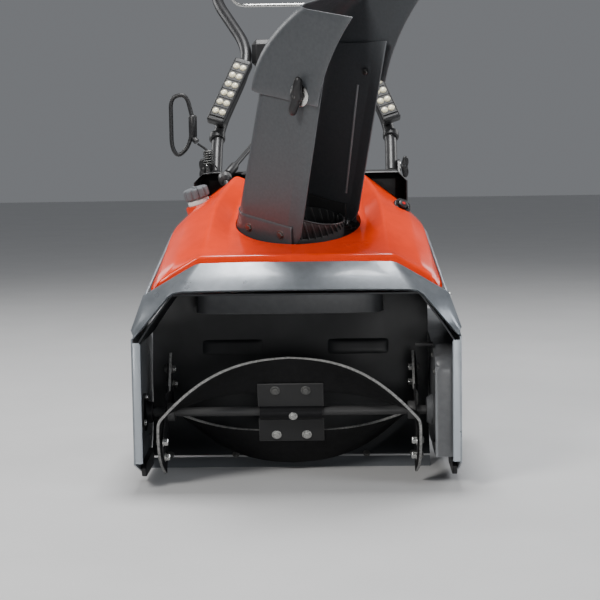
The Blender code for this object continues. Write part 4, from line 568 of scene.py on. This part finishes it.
def rotor_pieces():
    side = [ROTOR_HALF * math.sin(math.pi / 2 * k / 34) for k in range(35)]
    tail = [(ROTOR_HALF, PADDLE_END * k / 12) for k in range(1, 13)]
    outer = smoothed([(x, paddle_edge_angle(x)) for x in side] + tail)
    inner = smoothed([(x, paddle_angle(x)) for x in side] + tail)
    rows = []
    for share in (1.0, 0.97, 0.8, 0.6, 0.4, 0.2, 0.0, -0.24, -0.48):
        radius = 0.064 + (ROTOR_R - 0.064) * share
        mix = max(0.0, share)
        half = [(b[0] + (a[0] - b[0]) * mix, b[1] + (a[1] - b[1]) * mix) for a, b in zip(outer, inner)]
        stations = [(-x, a) for x, a in reversed(half[1:])] + half
        rows.append([(x, -radius * math.cos(a), radius * math.sin(a)) for x, a in stations])
    for name, turn in (("a", 0.0), ("b", math.pi)):
        place = Matrix.Translation(ROTOR) @ Matrix.Rotation(turn, 4, "X")
        plate(f"paddle_{name}_skin", rows, 0.0050, RUBBER, "rotor",
              (f"rotor_paddle_{name}",), place, edge=0.0008, rim=RUBBER_EDGE, angle=50)
    normal = Vector((0, -math.sin(PADDLE_TOP), -math.cos(PADDLE_TOP)))
    out = Vector((0, -math.cos(PADDLE_TOP), math.sin(PADDLE_TOP)))
    tilt = Matrix.Translation(ROTOR + normal * 0.0043) @ Matrix.Rotation(math.pi / 2 - PADDLE_TOP, 4, "X")
    for k, (low, high) in enumerate(((0.0128, 0.060), (-0.060, -0.0128))):
        block(f"hub_plate_{k}", (-0.058, -0.0015, low), (0.058, 0.0015, high), BRACKET, "rotor", 0.0009,
              ("rotor_hub",) if k == 0 else (), tilt)
    # saddle over the shaft, with lips that roll out onto the two plates
    arch = [(0.0185, 0.0)] + [circle(0.0122, -math.pi * k / 16) for k in range(17)] + [(-0.0185, 0.0)]
    rows = [[(x, v + 0.0005, u) for u, v in arch] for x in (-0.0555, -0.0545, 0.0, 0.0545, 0.0555)]
    plate("hub_saddle", rows, 0.0028, BRACKET, "rotor", matrix=tilt, edge=0.0008, angle=50)
    for k, (x, end) in enumerate(((-0.027, 1), (0.027, 1), (-0.027, -1), (0.027, -1))):
        at = ROTOR + out * end * 0.0465 + normal * 0.0058 + Vector((x, 0, 0))
        hex_bolt(f"hub_bolt_{k}", at, normal, 0.0066, DULL if end > 0 else ZINC, "rotor", 0.0088)
    hex_bolt("hub_bolt_centre", ROTOR + normal * 0.0170 + Vector((0.004, 0, 0)), normal, 0.0058, ZINC,
             "rotor", 0.0078)
    for side, sign in (("left", -1), ("right", 1)):
        face = sign * (ROTOR_HALF - 0.0043)
        middle = math.radians(-36)
        border = []
        for cx, cy, start in ((1, 1, 0), (-1, 1, 90), (-1, -1, 180), (1, -1, 270)):
            for k in range(9):
                a = math.radians(start + 90 * k / 8)
                border.append((cx * 0.087 + 0.016 * math.cos(a), cy * 0.0045 + 0.016 * math.sin(a)))
        turn = math.pi - middle
        border = [(u * math.cos(turn) - v * math.sin(turn), u * math.sin(turn) + v * math.cos(turn)) for u,
                  v in border]
        place = Matrix.Translation(ROTOR + Vector((face, 0, 0))) @ PLANE_X
        piece = put(f"end_plate_{side}", flat_mesh("end_plate", border, 0.0030, Matrix.Identity(4)),
                    BRACKET, "rotor", (f"rotor_end_plate_{side}",), place)
        round_edges(piece, 0.0008, 2)
        lathe(f"end_collar_{side}", [(0.0082, 0.0), (0.0160, 0.0), (0.0160, 0.0125), (0.0150, 0.0140),
                                     (0.0082, 0.0140)],
              ROTOR + Vector((face, 0, 0)), ROTOR + Vector((face - sign, 0, 0)), BRACKET, "rotor", 40)
        for k, angle in enumerate((-24, -48)):
            for p in (0, 1):
                a = math.radians(angle) + p * math.pi
                at = ROTOR + Vector((face - sign * 0.0015, -0.092 * math.cos(a), 0.092 * math.sin(a)))
                hex_bolt(f"end_bolt_{side}_{k}_{p}", at, (-sign, 0, 0), 0.0068, ZINC, "rotor", 0.0088,
                         tall=1.3)
                nut = ROTOR + Vector((sign * (ROTOR_HALF + 0.0026), -0.092 * math.cos(a),
                                      0.092 * math.sin(a)))
                hex_bolt(f"end_nut_{side}_{k}_{p}", nut, (sign, 0, 0), 0.0060, DULL, "rotor", 0.0080)
    lathe("shaft_skin", [(0.0, -0.2607), (0.0072, -0.2607), (0.0080, -0.2600), (0.0080, 0.2827),
                         (0.0072, 0.2835), (0, 0.2835)],
          ROTOR, ROTOR + Vector((1, 0, 0)), BRACKET, "rotor", 48, ("rotor_shaft",))
    dress("rotor_pulley", CAST)


# ---- hood
def hood_sections():
    return [
        (0.054, [(0.2490, 0.3340), (0.2360, 0.3540), (0.2200, 0.3620), (0.1700, 0.3895), (0.1200, 0.3895),
                 (0, 0.3895)]),
        (0.058, [(0.2492, 0.3370), (0.2362, 0.3570), (0.2195, 0.3680), (0.1690, 0.3975), (0.1200, 0.3980),
                 (0, 0.3980)]),
        (0.080, [(0.2500, 0.3480), (0.2370, 0.3680), (0.2150, 0.3830), (0.1620, 0.4060), (0.1150, 0.4030),
                 (0, 0.4030)]),
        (0.160, [(0.2400, 0.3830), (0.2340, 0.4020), (0.2080, 0.4180), (0.1560, 0.4440), (0.1225, 0.4240),
                 (0, 0.4200)]),
        (0.240, [(0.2310, 0.4180), (0.2280, 0.4330), (0.2020, 0.4540), (0.1500, 0.4785), (0.1215, 0.4490),
                 (0, 0.4450)]),
        (0.310, [(0.2290, 0.4200), (0.2200, 0.4430), (0.1850, 0.4780), (0.1380, 0.5040), (0.1080, 0.4850),
                 (0, 0.4680)]),
        (0.365, [(0.2280, 0.4200), (0.2120, 0.4460), (0.1650, 0.4930), (0.1210, 0.5270), (0.0850, 0.5130),
                 (0, 0.4900)]),
    ]


CAP_AT = Vector((-0.186, 0.318, 0.470))
CAP_UP = Vector((-0.30, -0.10, 1.0)).normalized()
BUTTON_AT = Vector((0.190, 0.268, 0.469))
BUTTON_OUT = Vector((0.35, -0.65, 0.67)).normalized()


def engine_hood():
    rows = []
    for y, half in hood_sections():
        full = [Vector((-x, y, z)) for x, z in half[:-1]] + [Vector((half[-1][0], y, half[-1][1]))]
        full += [Vector((x, y, z)) for x, z in reversed(half[:-1])]
        rows.append(bends(full, 0.006, 4))
    rows = between(rows, 6)
    # small returned edge where the hood tucks behind the trim
    rows = [[p + Vector((0, -0.0005, -0.006)) for p in rows[0]]] + rows
    hood = plate("hood_skin", rows, 0.0026, ORANGE, "chassis", ("engine_hood",), edge=0,
                 angle=60)
    cutters = [tool_rod(ring_frame() @ Vector((0, 0, -0.05)), ring_frame() @ Vector((0, 0, 0.09)),
                        HOOD_HOLE_R),
               tool_rod(CAP_AT - CAP_UP * 0.03, CAP_AT + CAP_UP * 0.06, 0.0262),
               tool_rod(BUTTON_AT - BUTTON_OUT * 0.03, BUTTON_AT + BUTTON_OUT * 0.03, 0.0125)]
    worm_axis = Vector(JOINTS["crank_worm_turn"]["axis"])
    worm_at = Vector(JOINTS["crank_worm_turn"]["pos_m"]) - Vector((0, FRONT_Y, 0))
    cutters.append(tool_rod(worm_at + worm_axis * 0.12, worm_at + worm_axis * 0.215, 0.016))
    for tool in cutters:
        boolean(hood, tool)
        bpy.data.objects.remove(tool, do_unlink=True)
    round_edges(hood, 0.0008, 2, 60)
    # rolled rim that dips into the chute opening
    rim = [(0.1330, 0.0004), (0.1300, 0.0032), (0.1255, 0.0044), (0.1205, 0.0040), (0.1165, 0.0018),
           (0.1145, -0.0020), (0.1138, -0.0085), (0.1150, -0.0085), (0.1158, -0.0022), (0.1178, 0.0002),
           (0.1212, 0.0014), (0.1300, -0.0010)]
    lathe("hood_rim", rim, ring_frame() @ Vector((0, 0, 0)), ring_frame() @ Vector((0, 0, 1)), ORANGE,
          "chassis", 128, closed=True, angle=60)
    # boss that carries the filler neck
    lathe("filler_boss", [(0.0275, -0.030), (0.0272, 0.0045), (0.0255, 0.0080), (0.0215, 0.0088),
                          (0.0205, 0.0070), (0.0205, -0.030)], CAP_AT, CAP_AT + CAP_UP, ORANGE, "chassis",
          72, closed=True)
    return hood


def hood_details():
    steps = 120
    profile = [(0.55, 0.0196), (0.93, 0.0196), (1.0, 0.0212), (1.0, 0.0352), (0.965, 0.0372),
               (0.86, 0.0392), (0.62, 0.0396)]
    rows = []
    for share, level in profile:
        row = []
        for k in range(steps):
            a = 2 * math.pi * k / steps
            lobe = 0.0205 + 0.0038 * abs(math.sin(5.5 * a)) ** 0.45 if share > 0.9 else 0.0236
            row.append((*circle(share * lobe, a), level))
        rows.append(row)
    mesh = grid_mesh("cap", rows, True, 40)
    bm = bmesh.new()
    bm.from_mesh(mesh)
    bmesh.ops.holes_fill(bm, edges=[e for e in bm.edges if e.is_boundary], sides=0)
    cap = put("cap_skin", mesh_of(bm, "cap", 40), CAP, "fuel_cap", ("fuel_cap",),
              along(CAP_AT, CAP_AT + CAP_UP))
    round_edges(cap, 0.0004, 2, 60)
    handle = [(-0.014, -0.0028), (0.014, -0.0028), (0.014, 0.0028), (-0.014, 0.0028)]
    place = along(CAP_AT, CAP_AT + CAP_UP) @ Matrix.Translation((0, 0, 0.0400))
    round_edges(put("cap_bar", flat_mesh("cap_bar", handle, 0.003, Matrix.Identity(4)), CAP, "fuel_cap",
                    matrix=place), 0.0010, 3)
    refine("fuel_tank", WHITE, "chassis", 0.0015, 2)
    lathe("neck_skin", [(0.0, 0.0185), (0.0150, 0.0185), (0.0158, 0.0176), (0.0158, -0.0200),
                        (0.0, -0.0200)], CAP_AT,
          CAP_AT + CAP_UP, WHITE, "chassis", 64)
    lathe("neck_collar", [(0.0150, 0.0172), (0.0196, 0.0172), (0.0204, 0.0160), (0.0206, 0.0092),
                          (0.0196, 0.0080), (0.0150, 0.0080)], CAP_AT, CAP_AT + CAP_UP, WHITE, "chassis",
          64, closed=True)
    lathe("button_skin", [(0, 0.0108), (0.0068, 0.0108), (0.0084, 0.0100), (0.0092, 0.0082),
                          (0.0092, -0.0190), (0, -0.0190)],
          BUTTON_AT, BUTTON_AT + BUTTON_OUT, PLASTIC, "start_button", 40,
          ("start_button",))
    lathe("button_mark", [(0, 0.0112), (0.0030, 0.0112), (0.0034, 0.0106), (0, 0.0106)], BUTTON_AT,
          BUTTON_AT + BUTTON_OUT, RED, "start_button", 24)
    socket_ring = lathe("button_socket", [(0.0114, 0.0060), (0.0160, 0.0060), (0.0172, 0.0040),
                                          (0.0176, -0.0110), (0.0114, -0.0110)], BUTTON_AT,
                        BUTTON_AT + BUTTON_OUT, PLASTIC, "chassis", 8, closed=True,
                        angle=20)
    round_edges(socket_ring, 0.0006, 2, 20)


# ---- chute
def chute_row(half, h, back, front, soft, tip, flange=0.027, steps=10):
    side = [(front, -half + tip), (front - flange * 0.5, -half + tip * 0.45), (front - flange, -half),
            (front - flange - 0.02, -half), (back + soft, -half)]
    corner = []
    for k in range(1, steps + 1):
        a = math.pi / 2 * k / steps
        corner.append((back + soft - soft * math.sin(a), -half + soft - soft * math.cos(a)))
    row = side + corner
    full = row + [(x, -y) for x, y in reversed(row)]
    return [Vector((x, y, h)) for x, y in full]


def chute_back(h):
    return -0.0865 + 0.255 * h


def chute_front(h):
    return 0.073 + 0.20 * h


def chute():
    rows = []
    for h in (-0.006, 0.004, 0.02, 0.05, 0.09, 0.13, 0.17, 0.21, 0.25, 0.29):
        front = chute_front(h)
        row = chute_row(CHUTE_HALF, h, chute_back(h), front, 0.030, 0.0075)
        if h < 0.01:
            lift = 0.016 if h < 0 else 0.010
            row = [p + Vector((0, 0, lift * max(0.0, (p.x - front + 0.016) / 0.016) ** 2)) for p in row]
        rows.append(row)
    low, high = chute_back(0.320), chute_front(0.345)
    top = chute_row(CHUTE_HALF, 0.345, low, high, 0.030, 0.0075)
    rows.append([Vector((p.x, p.y, 0.320 + 0.025 * max(0.0,
                                                       (p.x - low) / (high - low)) ** 1.5)) for p in top])
    plate("chute_skin", rows, 0.0026, CHUTE, "chute", ("chute_channel",), CHUTE_FRAME,
          edge=0.0009, angle=10.4)
    for k, (x, h) in enumerate(((-0.038, 0.012), (0.038, 0.016))):
        for sign in (-1, 1):
            hex_bolt(f"chute_bolt_{k}_{sign}", (x, sign * (CHUTE_HALF + 0.0030), h), (0, sign, 0), 0.0062,
                     DULL, "chute", 0.0088, CHUTE_FRAME)
    # stepped foot that wraps the rear and the sides of the channel
    rows = []
    for h, out in ((-0.010, 0.0), (-0.004, 0.0), (0.010, 0.0), (0.030, -0.0004), (0.0335, -0.0016),
                   (0.0350, -0.0040)):
        full = chute_row(CHUTE_HALF + 0.0030 + out * 0.6, h, chute_back(h) - 0.0055 + out, 0.063, 0.040,
                         0.0, 0.004, 12)
        rows.append(full)
    plate("chute_foot", rows, 0.0018, CHUTE, "chute", matrix=CHUTE_FRAME, edge=0.0006,
          angle=32)
    # stiffening rib pressed along the far wall
    rib = [(0.043, CHUTE_HALF - 0.0015, 0.045), (0.073, CHUTE_HALF - 0.0015, 0.255)]
    pipe("chute_rib", rib, 0.0024, CHUTE, "chute", matrix=CHUTE_FRAME)


def collar():
    """Ring gear and drum, with slanted ribs round the drum's inside."""
    tooth = []
    for k in range(40):
        middle = 2 * math.pi * (k + 0.5) / 40
        for radius, half in ((0.0970, 0.0034), (0.0985, 0.0030), (0.1022, 0.0021), (0.1030, 0.0014),
                             (0.1030, -0.0014), (0.1022, -0.0021), (0.0985, -0.0030), (0.0970, -0.0034)):
            a = middle - half / radius
            tooth.append(circle(radius, a))
    bm = bmesh.new()
    inner = [circle(0.082, math.atan2(v, u)) for u, v in tooth]
    rings = [[bm.verts.new((*p, h)) for p in border] for h,
             border in ((-0.018, tooth), (-0.026, tooth), (-0.026, inner),
                                                                      (-0.018, inner))]
    skin(bm, rings + rings[:1])
    ring = put("gear_skin", mesh_of(bm, "gear", 30), GEAR, "chute", ("chute_collar",),
               CHUTE_FRAME)
    round_edges(ring, 0.0004, 1, 40)
    lathe("drum_skin", [(0.0807, 0.0018), (0.0814, 0.0030), (0.0826, 0.0030), (0.0832, 0.0018),
                        (0.0832, -0.026), (0.0807, -0.026)], CHUTE_FRAME @ Vector((0, 0, 0)),
          CHUTE_FRAME @ Vector((0, 0, 1)), GEAR, "chute", 128, closed=True)
    for k in range(30):
        a = 2 * math.pi * k / 30
        start = Vector((*circle(0.0800, a), -0.0255))
        end = Vector((*circle(0.0800, a + 0.10), 0.0022))
        pipe(f"drum_rib_{k}", [start, end], 0.0019, GEAR, "chute", sides=2,
             matrix=CHUTE_FRAME)
    guard = []
    count = 48
    for k in range(count + 1):
        a = math.radians(-80 + 142 * k / count)
        guard.append((a, 0.060 - 0.054 * math.sin(math.pi / 2 * k / count)))
    rows = [[(*circle(GUARD_R, a), -0.003 + (top + 0.003) * share) for a, top in guard]
            for share in (0, 0.33, 0.66, 1)]
    plate("guard_skin", rows, 0.0019, GEAR, "chute", matrix=CHUTE_FRAME, edge=0.0007,
          angle=50)
    for k in range(1, 16):
        a, top = guard[k * 3]
        foot = Vector((*circle(0.0830, a), 0.001))
        head = Vector((*circle(0.0830, a - 0.10), top + 0.0006))
        middle = (foot + head) / 2 + Vector((math.cos(a), math.sin(a), 0)) * 0.0012
        pipe(f"guard_rib_{k}", spline([foot, middle, head], 4), 0.0019, GEAR, "chute",
             sides=3, matrix=CHUTE_FRAME)
    bead = [Vector((*circle(GUARD_R, a), top)) for a, top in guard]
    pipe("guard_bead", bead, 0.0020, GEAR, "chute", sides=3, matrix=CHUTE_FRAME)
    for sign in (-1, 1):
        low, high = sorted((sign * 0.0826, sign * 0.0859))
        block(f"chute_tab_{sign}", (-0.046, low, -0.022), (0.044, high, 0.024), GEAR, "chute", 0.001,
              matrix=CHUTE_FRAME)


def deflector():
    half = CHUTE_HALF + 0.0025 + 0.0015
    rows = []
    steps = 12
    for k in range(steps + 1):
        t = k / steps
        h = 0.268 + 0.162 * t
        lean = 0.10 * t ** 2
        back = chute_back(0.268) - 0.016 + 0.12 * (h - 0.268) + lean
        front = chute_front(h) + 0.004 + lean * 0.45
        rows.append(chute_row(half, h, back, front, 0.030, 0.0))
    plate("deflector_skin", rows, 0.0026, CHUTE, "deflector", ("deflector",),
          CHUTE_FRAME, edge=0.0009, angle=32)


def wing_knob(name, at, way, side, body, node, matrix=None, reach=0.0235, disc=0.0128):
    """Two-lobed hand knob: smooth wings blended from a round hub, over a bright washer."""
    at, way, side = Vector(at), Vector(way).normalized(), Vector(side).normalized()
    across = way.cross(side).normalized()
    basis = Matrix((side, across, way)).transposed().to_4x4()
    place = (matrix or Matrix.Identity(4)) @ Matrix.Translation(at) @ basis
    hub, wing = (0.0088, 0.0050) if reach < 0.030 else (0.0118, 0.0070)
    notch = math.asin(wing / hub)
    outline = []
    for start in (0.0, math.pi):
        for k in range(9):
            a = start + math.pi * (k / 8 - 0.5)
            outline.append((math.cos(start) * (reach - wing) + wing * math.cos(a), wing * math.sin(a)))
        for k in range(7):
            a = start + notch + 0.12 + (math.pi - 2 * notch - 0.24) * k / 6
            outline.append(circle(hub, a))
    bm = bmesh.new()
    levels = [(0.88, 0.0012), (0.98, 0.0036), (1.0, 0.0068), (0.94, 0.0102), (0.74, 0.0128), (0.36, 0.0136)]
    rings = [[bm.verts.new((u * s, v * s, w + 0.0040 * (abs(u) / reach) ** 2)) for u, v in outline] for s,
             w in levels]
    skin(bm, rings)
    bm.faces.new(rings[0][::-1])
    bm.faces.new(rings[-1])
    piece = put(name + "_skin", mesh_of(bm, name, 60), PLASTIC, body, (node,), place)
    smooth = piece.modifiers.new("smooth", "SUBSURF")
    smooth.levels = 1
    smooth.render_levels = 1
    lathe(name + "_washer", [(0.0, 0.0010), (disc * 0.92, 0.0010), (disc, 0.0003), (disc, -0.0004),
                             (0, -0.0004)],
          (0, 0, 0), (0, 0, 1), ZINC, body, 48, matrix=place)
    lathe(name + "_nut", [(0.0, 0.0150), (0.0028, 0.0150), (0.0034, 0.0144), (0.0034, 0.0120), (0, 0.0120)],
          (0, 0, 0), (0, 0, 1), DULL, body, 24, matrix=place)
    return piece


def knobs():
    for side, sign in (("near", -1), ("far", 1)):
        face = sign * (CHUTE_HALF + 0.0025 * 1.5 + 0.0015 + 0.0009)
        wing_knob(f"deflector_knob_{side}", (0.092, face, 0.282), (0, sign, 0), (0.25, 0, 1),
                  f"deflector_knob_{side}", f"deflector_knob_{side}", CHUTE_FRAME, 0.0365, 0.0200)
        end = Vector((0.092, face - sign * 0.010, 0.282))
        hex_bolt(f"deflector_pin_{side}", end, (0, -sign, 0), 0.0060, DULL, f"deflector_knob_{side}", 0.0,
                 CHUTE_FRAME)
    for side, sign in (("left", -1), ("right", 1)):
        wing_knob(f"fold_knob_{side}", (sign * 0.2006, 0.635, 0.535), (sign, 0, 0), (0, -0.2, 1),
                  f"fold_knob_{side}", f"fold_knob_{side}")


# ---- crank, handle and the rest
def crank():
    rod = JOINTS["crank_rod_turn"]
    low = Vector(rod["pos_m"]) - Vector((0, FRONT_Y, 0))
    rod_way = Vector(rod["axis"])
    refine("crank_worm", GEAR, "crank_worm", 0.0005, 1)
    refine("crank_rod", TUBE, "crank_rod", 0.0006, 2)
    lathe("rod_sleeve", [(0.0052, 0.0), (0.0085, 0.001), (0.0090, 0.004), (0.0090, 0.030), (0.0080, 0.034),
                         (0.0052, 0.035)],
          low + rod_way * 0.012, low + rod_way, PLASTIC, "crank_rod", 32, closed=True)


def upper_handle():
    half = [(0.182, 0.628, 0.526), (0.183, 0.700, 0.612), (0.128, 0.800, 0.745), (0.128, 0.850, 0.800),
            (0.205, 0.985, 0.912), (0.205, 1.110, 0.985), (0.190, 1.1675, 1.0075), (0, 1.1675, 1.0075)]
    side = [(-x, y, z) for x, y, z in half[:-1]]
    path = bends(side + [(x, y, z) for x, y, z in reversed(half[:-1])], 0.05, 10)
    pipe("handle_skin", path, 0.0124, TUBE, "handle", ("upper_handle",), sides=8)
    pipe("grip_foam", [(-0.150, 1.1675, 1.0075), (0.0, 1.1675, 1.0075), (0.150, 1.1675, 1.0075)], 0.0155,
         FOAM, "handle", sides=8)
    for sign in (-1, 1):
        at = Vector((sign * 0.183, 0.700, 0.612))
        lathe(f"tube_collar_{sign}", [(0.0126, -0.004), (0.0165, -0.003), (0.0170, 0.0), (0.0165, 0.010),
                                      (0.0126, 0.011)],
              at - Vector((0, 0.0118, 0.0140)), at, PLASTIC, "handle", 40, closed=True)


def light_bar(side, sign):
    """Work light: black housing with a bevelled front and two columns of bright cells."""
    low = Vector((sign * 0.186, 0.681, 0.6305))
    high = Vector((sign * 0.128, 0.764, 0.7625))
    up = (high - low).normalized()
    across = (Vector((1, 0, 0)) - up * up.x).normalized()
    front = across.cross(up).normalized()
    if front.y > 0:
        front = -front
    basis = Matrix((across, up, across.cross(up))).transposed().to_4x4()
    place = Matrix.Translation((low + high) / 2) @ basis
    length = (high - low).length
    depth = 1 if across.cross(up).dot(front) > 0 else -1
    block(f"light_body_{side}", (-0.020, -length / 2, -0.011), (0.020, length / 2, 0.011), PLASTIC,
          "handle", 0.005, (f"light_bar_{side}",), place, 4)
    face = depth * 0.0112
    frame_rows = [(-0.0155, -length / 2 + 0.012), (0.0155, -length / 2 + 0.012),
                  (0.0155, length / 2 - 0.012), (-0.0155, length / 2 - 0.012)]
    piece = put(f"light_glass_{side}", flat_mesh("glass", frame_rows, 0.0016, Matrix.Identity(4)), BRACKET,
                "handle", matrix=place @ Matrix.Translation((0, 0, face)))
    round_edges(piece, 0.0006, 2)
    cells = 6
    for row in range(cells):
        for column in (-1, 1):
            v = -length / 2 + 0.012 + (row + 0.5) * (length - 0.024) / cells
            centre = place @ Vector((column * 0.0075, v, face + depth * 0.0006))
            out = (place.to_3x3() @ Vector((0, 0, depth))).normalized()
            lathe(f"light_cell_{side}_{row}_{column}", [(0.0, 0.0042), (0.0030, 0.0039), (0.0052, 0.0030),
                                                        (0.0066, 0.0016),
                                                      (0.0072, 0.0)],
                  centre, centre + out, LENS, "handle", 24, angle=60)
    for k in range(cells + 1):
        v = -length / 2 + 0.012 + k * (length - 0.024) / cells
        levels = sorted((face - depth * 0.0004, face + depth * 0.0020))
        block(f"light_bar_rib_{side}_{k}", (-0.0158, v - 0.0008, levels[0]),
              (0.0158, v + 0.0008, levels[1]), PLASTIC, "handle", 0.0003, matrix=place,
              segments=1)


def starter():
    """Pull grip with its hub and bent neck; the guide's spring coil is made with the lower handle and the
    rope keeps its CAD shape.
    """
    loop = [(-0.2300, 0.645, 0.640), (-0.2420, 0.645, 0.692), (-0.2750, 0.645, 0.686),
            (-0.2750, 0.645, 0.582), (-0.2620, 0.645, 0.562), (-0.2400, 0.645, 0.582),
            (-0.2300, 0.645, 0.620)]
    pipe("grip_skin", bends(loop, 0.022, 10), 0.0044, PLASTIC, "starter_grip",
         ("starter_grip",), sides=6)
    lathe("grip_hub", [(0.0, -0.0260), (0.0062, -0.0255), (0.0085, -0.0220), (0.0088, 0.0180),
                       (0.0070, 0.0215), (0, 0.0220)],
          (-0.2300, 0.645, 0.6265), (-0.2300, 0.645, 1.0), PLASTIC, "starter_grip", 32,
          angle=60)
    pipe("grip_neck", spline([(-0.2300, 0.645, 0.606), (-0.2275, 0.6435, 0.599), (-0.2222, 0.6402, 0.5930)],
                             6), 0.0064, PLASTIC,
         "starter_grip", sides=5)


def lower_handle():
    refine("lower_handle", TUBE, "chassis", 0.0006, 2)
    guide = Vector((-0.196, 0.612, 0.560))
    coil = []
    for k in range(160):
        a = 2 * math.pi * k / 26
        coil.append(guide + Vector((*circle(0.0098, a), -0.015 + 0.030 * k / 159)))
    pipe("guide_coil", coil, 0.0014, DULL, "chassis", sides=3)


BODY_OF = {node: body for body,
           members in frame["record"]["behaviour"]["bodies"].items() for node in members}


def remaining():
    """Pieces whose CAD shape only needs rounded edges and its real surface."""
    table = {
        "rear_cover": (PLASTIC, 0.0012), "recoil_housing": (PLASTIC, 0.0008),
             "chassis_pan": (BRACKET, 0.0008),
        "crankcase": (CAST, 0.0012), "cylinder": (CAST, 0.0006), "muffler": (STEEL, 0.0010),
             "carburettor": (CAST, 0.0008),
        "wheel_rim_left": (WHITE, 0.0008), "wheel_rim_right": (WHITE, 0.0008),
             "dash_panel": (PLASTIC, 0.0010),
        "idler_arm": (STEEL, 0.0004), "ignition_key": (RED, 0.0008), "choke_knob": (PLASTIC, 0.0008),
        "bail_lever": (ZINC, 0.0003),
    }
    for node, (material, width) in table.items():
        refine(node, material, BODY_OF[node], width, 2)
    for node, material in (("crankshaft", STEEL), ("flywheel", CAST), ("crank_pulley", STEEL),
                           ("idler_pulley", STEEL), ("drive_belt", RUBBER), ("starter_rope", PLASTIC),
                           ("clutch_cable", PLASTIC), ("primer_bulb", RED)):
        dress(node, material)


def tyres():
    for side, sign in (("left", -1), ("right", 1)):
        at = Vector((sign * 0.230, 0.540, 0.100))
        profile = [(0.0723, 0.0185), (0.0760, 0.0215), (0.0860, 0.0225), (0.0930, 0.0200), (0.0965, 0.0150),
                   (0.0972, 0.0), (0.0965, -0.0150), (0.0930, -0.0200), (0.0860, -0.0225),
                   (0.0760, -0.0215), (0.0723, -0.0185)]
        body = f"wheel_{side}"
        lathe(f"tyre_skin_{side}", profile, at, at + Vector((1, 0, 0)), TYRE, body, 96,
              (f"tyre_{side}",), closed=True, angle=60)
        for k in range(30):
            a = 2 * math.pi * k / 30
            for lane in (-1, 1):
                shift = a + (math.pi / 30 if lane > 0 else 0)
                place = Matrix.Translation(at) @ Matrix.Rotation(shift, 4,
                                                                 "X") @ Matrix.Rotation(lane * 0.35, 4, "Z")
                block(f"tread_{side}_{k}_{lane}", (lane * 0.0105 - 0.0085, -0.0042, 0.0955),
                      (lane * 0.0105 + 0.0085, 0.0042, 0.0998), TYRE, body, 0.0010,
                      matrix=place, segments=1)
        lathe(f"hub_cap_{side}", [(0.0, 0.0068), (0.0085, 0.0062), (0.0110, 0.0035), (0.0115, 0.0)],
              at + Vector((sign * 0.0225, 0, 0)), at + Vector((sign, 0, 0)), PLASTIC, body, 32)


# ---- studio
def studio():
    bm = bmesh.new()
    bmesh.ops.create_grid(bm, x_segments=1, y_segments=1, size=12)
    mesh = bpy.data.meshes.new("floor")
    bm.to_mesh(mesh)
    bm.free()
    mesh.materials.append(FLOOR)
    floor = bpy.data.objects.new("floor", mesh)
    bpy.context.scene.collection.objects.link(floor)
    world = bpy.context.scene.world or bpy.data.worlds.new("studio")
    bpy.context.scene.world = world
    world.use_nodes = True
    background = world.node_tree.nodes["Background"]
    background.inputs["Color"].default_value = (0.80, 0.83, 0.88, 1)
    background.inputs["Strength"].default_value = 0.22
    for name, at, size, power, colour in (
            ("key", (-1.5, -2.2, 2.2), 0.8, 55, (1.0, 0.98, 0.95)),
            ("fill", (2.2, -1.7, 1.6), 1.0, 22, (0.93, 0.96, 1.0)),
            ("low", (0.5, -3.2, 0.30), 0.5, 9, (1, 1, 1)),
            ("top", (0.0, -0.05, 2.6), 0.8, 66, (1, 1, 1)),
            ("rim_left", (-2.2, 1.6, 1.8), 1.2, 20, (1, 1, 1)),
            ("rim_right", (2.2, 1.6, 1.8), 1.2, 24, (1, 1, 1))):
        lamp = bpy.data.lights.new(name, "AREA")
        lamp.size = size
        lamp.energy = power
        lamp.color = colour
        made = bpy.data.objects.new(name, lamp)
        bpy.context.scene.collection.objects.link(made)
        made.location = at
        aim = Vector((0, -0.3, 0.35)) - Vector(at)
        made.rotation_euler = aim.to_track_quat("-Z", "Y").to_euler()
    # camera low in front, turned slightly to the left and leaning a little
    pitch, yaw, roll = math.radians(6.0), math.radians(1.8), math.radians(0.85)
    forward = Vector((-math.sin(yaw) * math.cos(pitch), math.cos(yaw) * math.cos(pitch), -math.sin(pitch)))
    right = forward.cross(Vector((0, 0, 1))).normalized()
    up = right.cross(forward)
    right, up = right * math.cos(roll) - up * math.sin(roll), right * math.sin(roll) + up * math.cos(roll)
    lens = bpy.data.cameras.new("camera")
    lens.sensor_width = 36
    lens.lens = CAMERA_LENS
    camera = bpy.data.objects.new("camera", lens)
    bpy.context.scene.collection.objects.link(camera)
    turn = Matrix((right, up, -forward)).transposed().to_4x4()
    camera.matrix_world = Matrix.Translation((CAMERA_X, FRONT_Y - CAMERA_AWAY, CAMERA_Z)) @ turn
    bpy.context.scene.camera = camera


front_trim()
side_plates()
housing()
throat()
small_housing_parts()
rotor_pieces()
engine_hood()
hood_details()
chute()
collar()
deflector()
knobs()
crank()
upper_handle()
light_bar("left", -1)
light_bar("right", 1)
starter()
lower_handle()
remaining()
tyres()
studio()
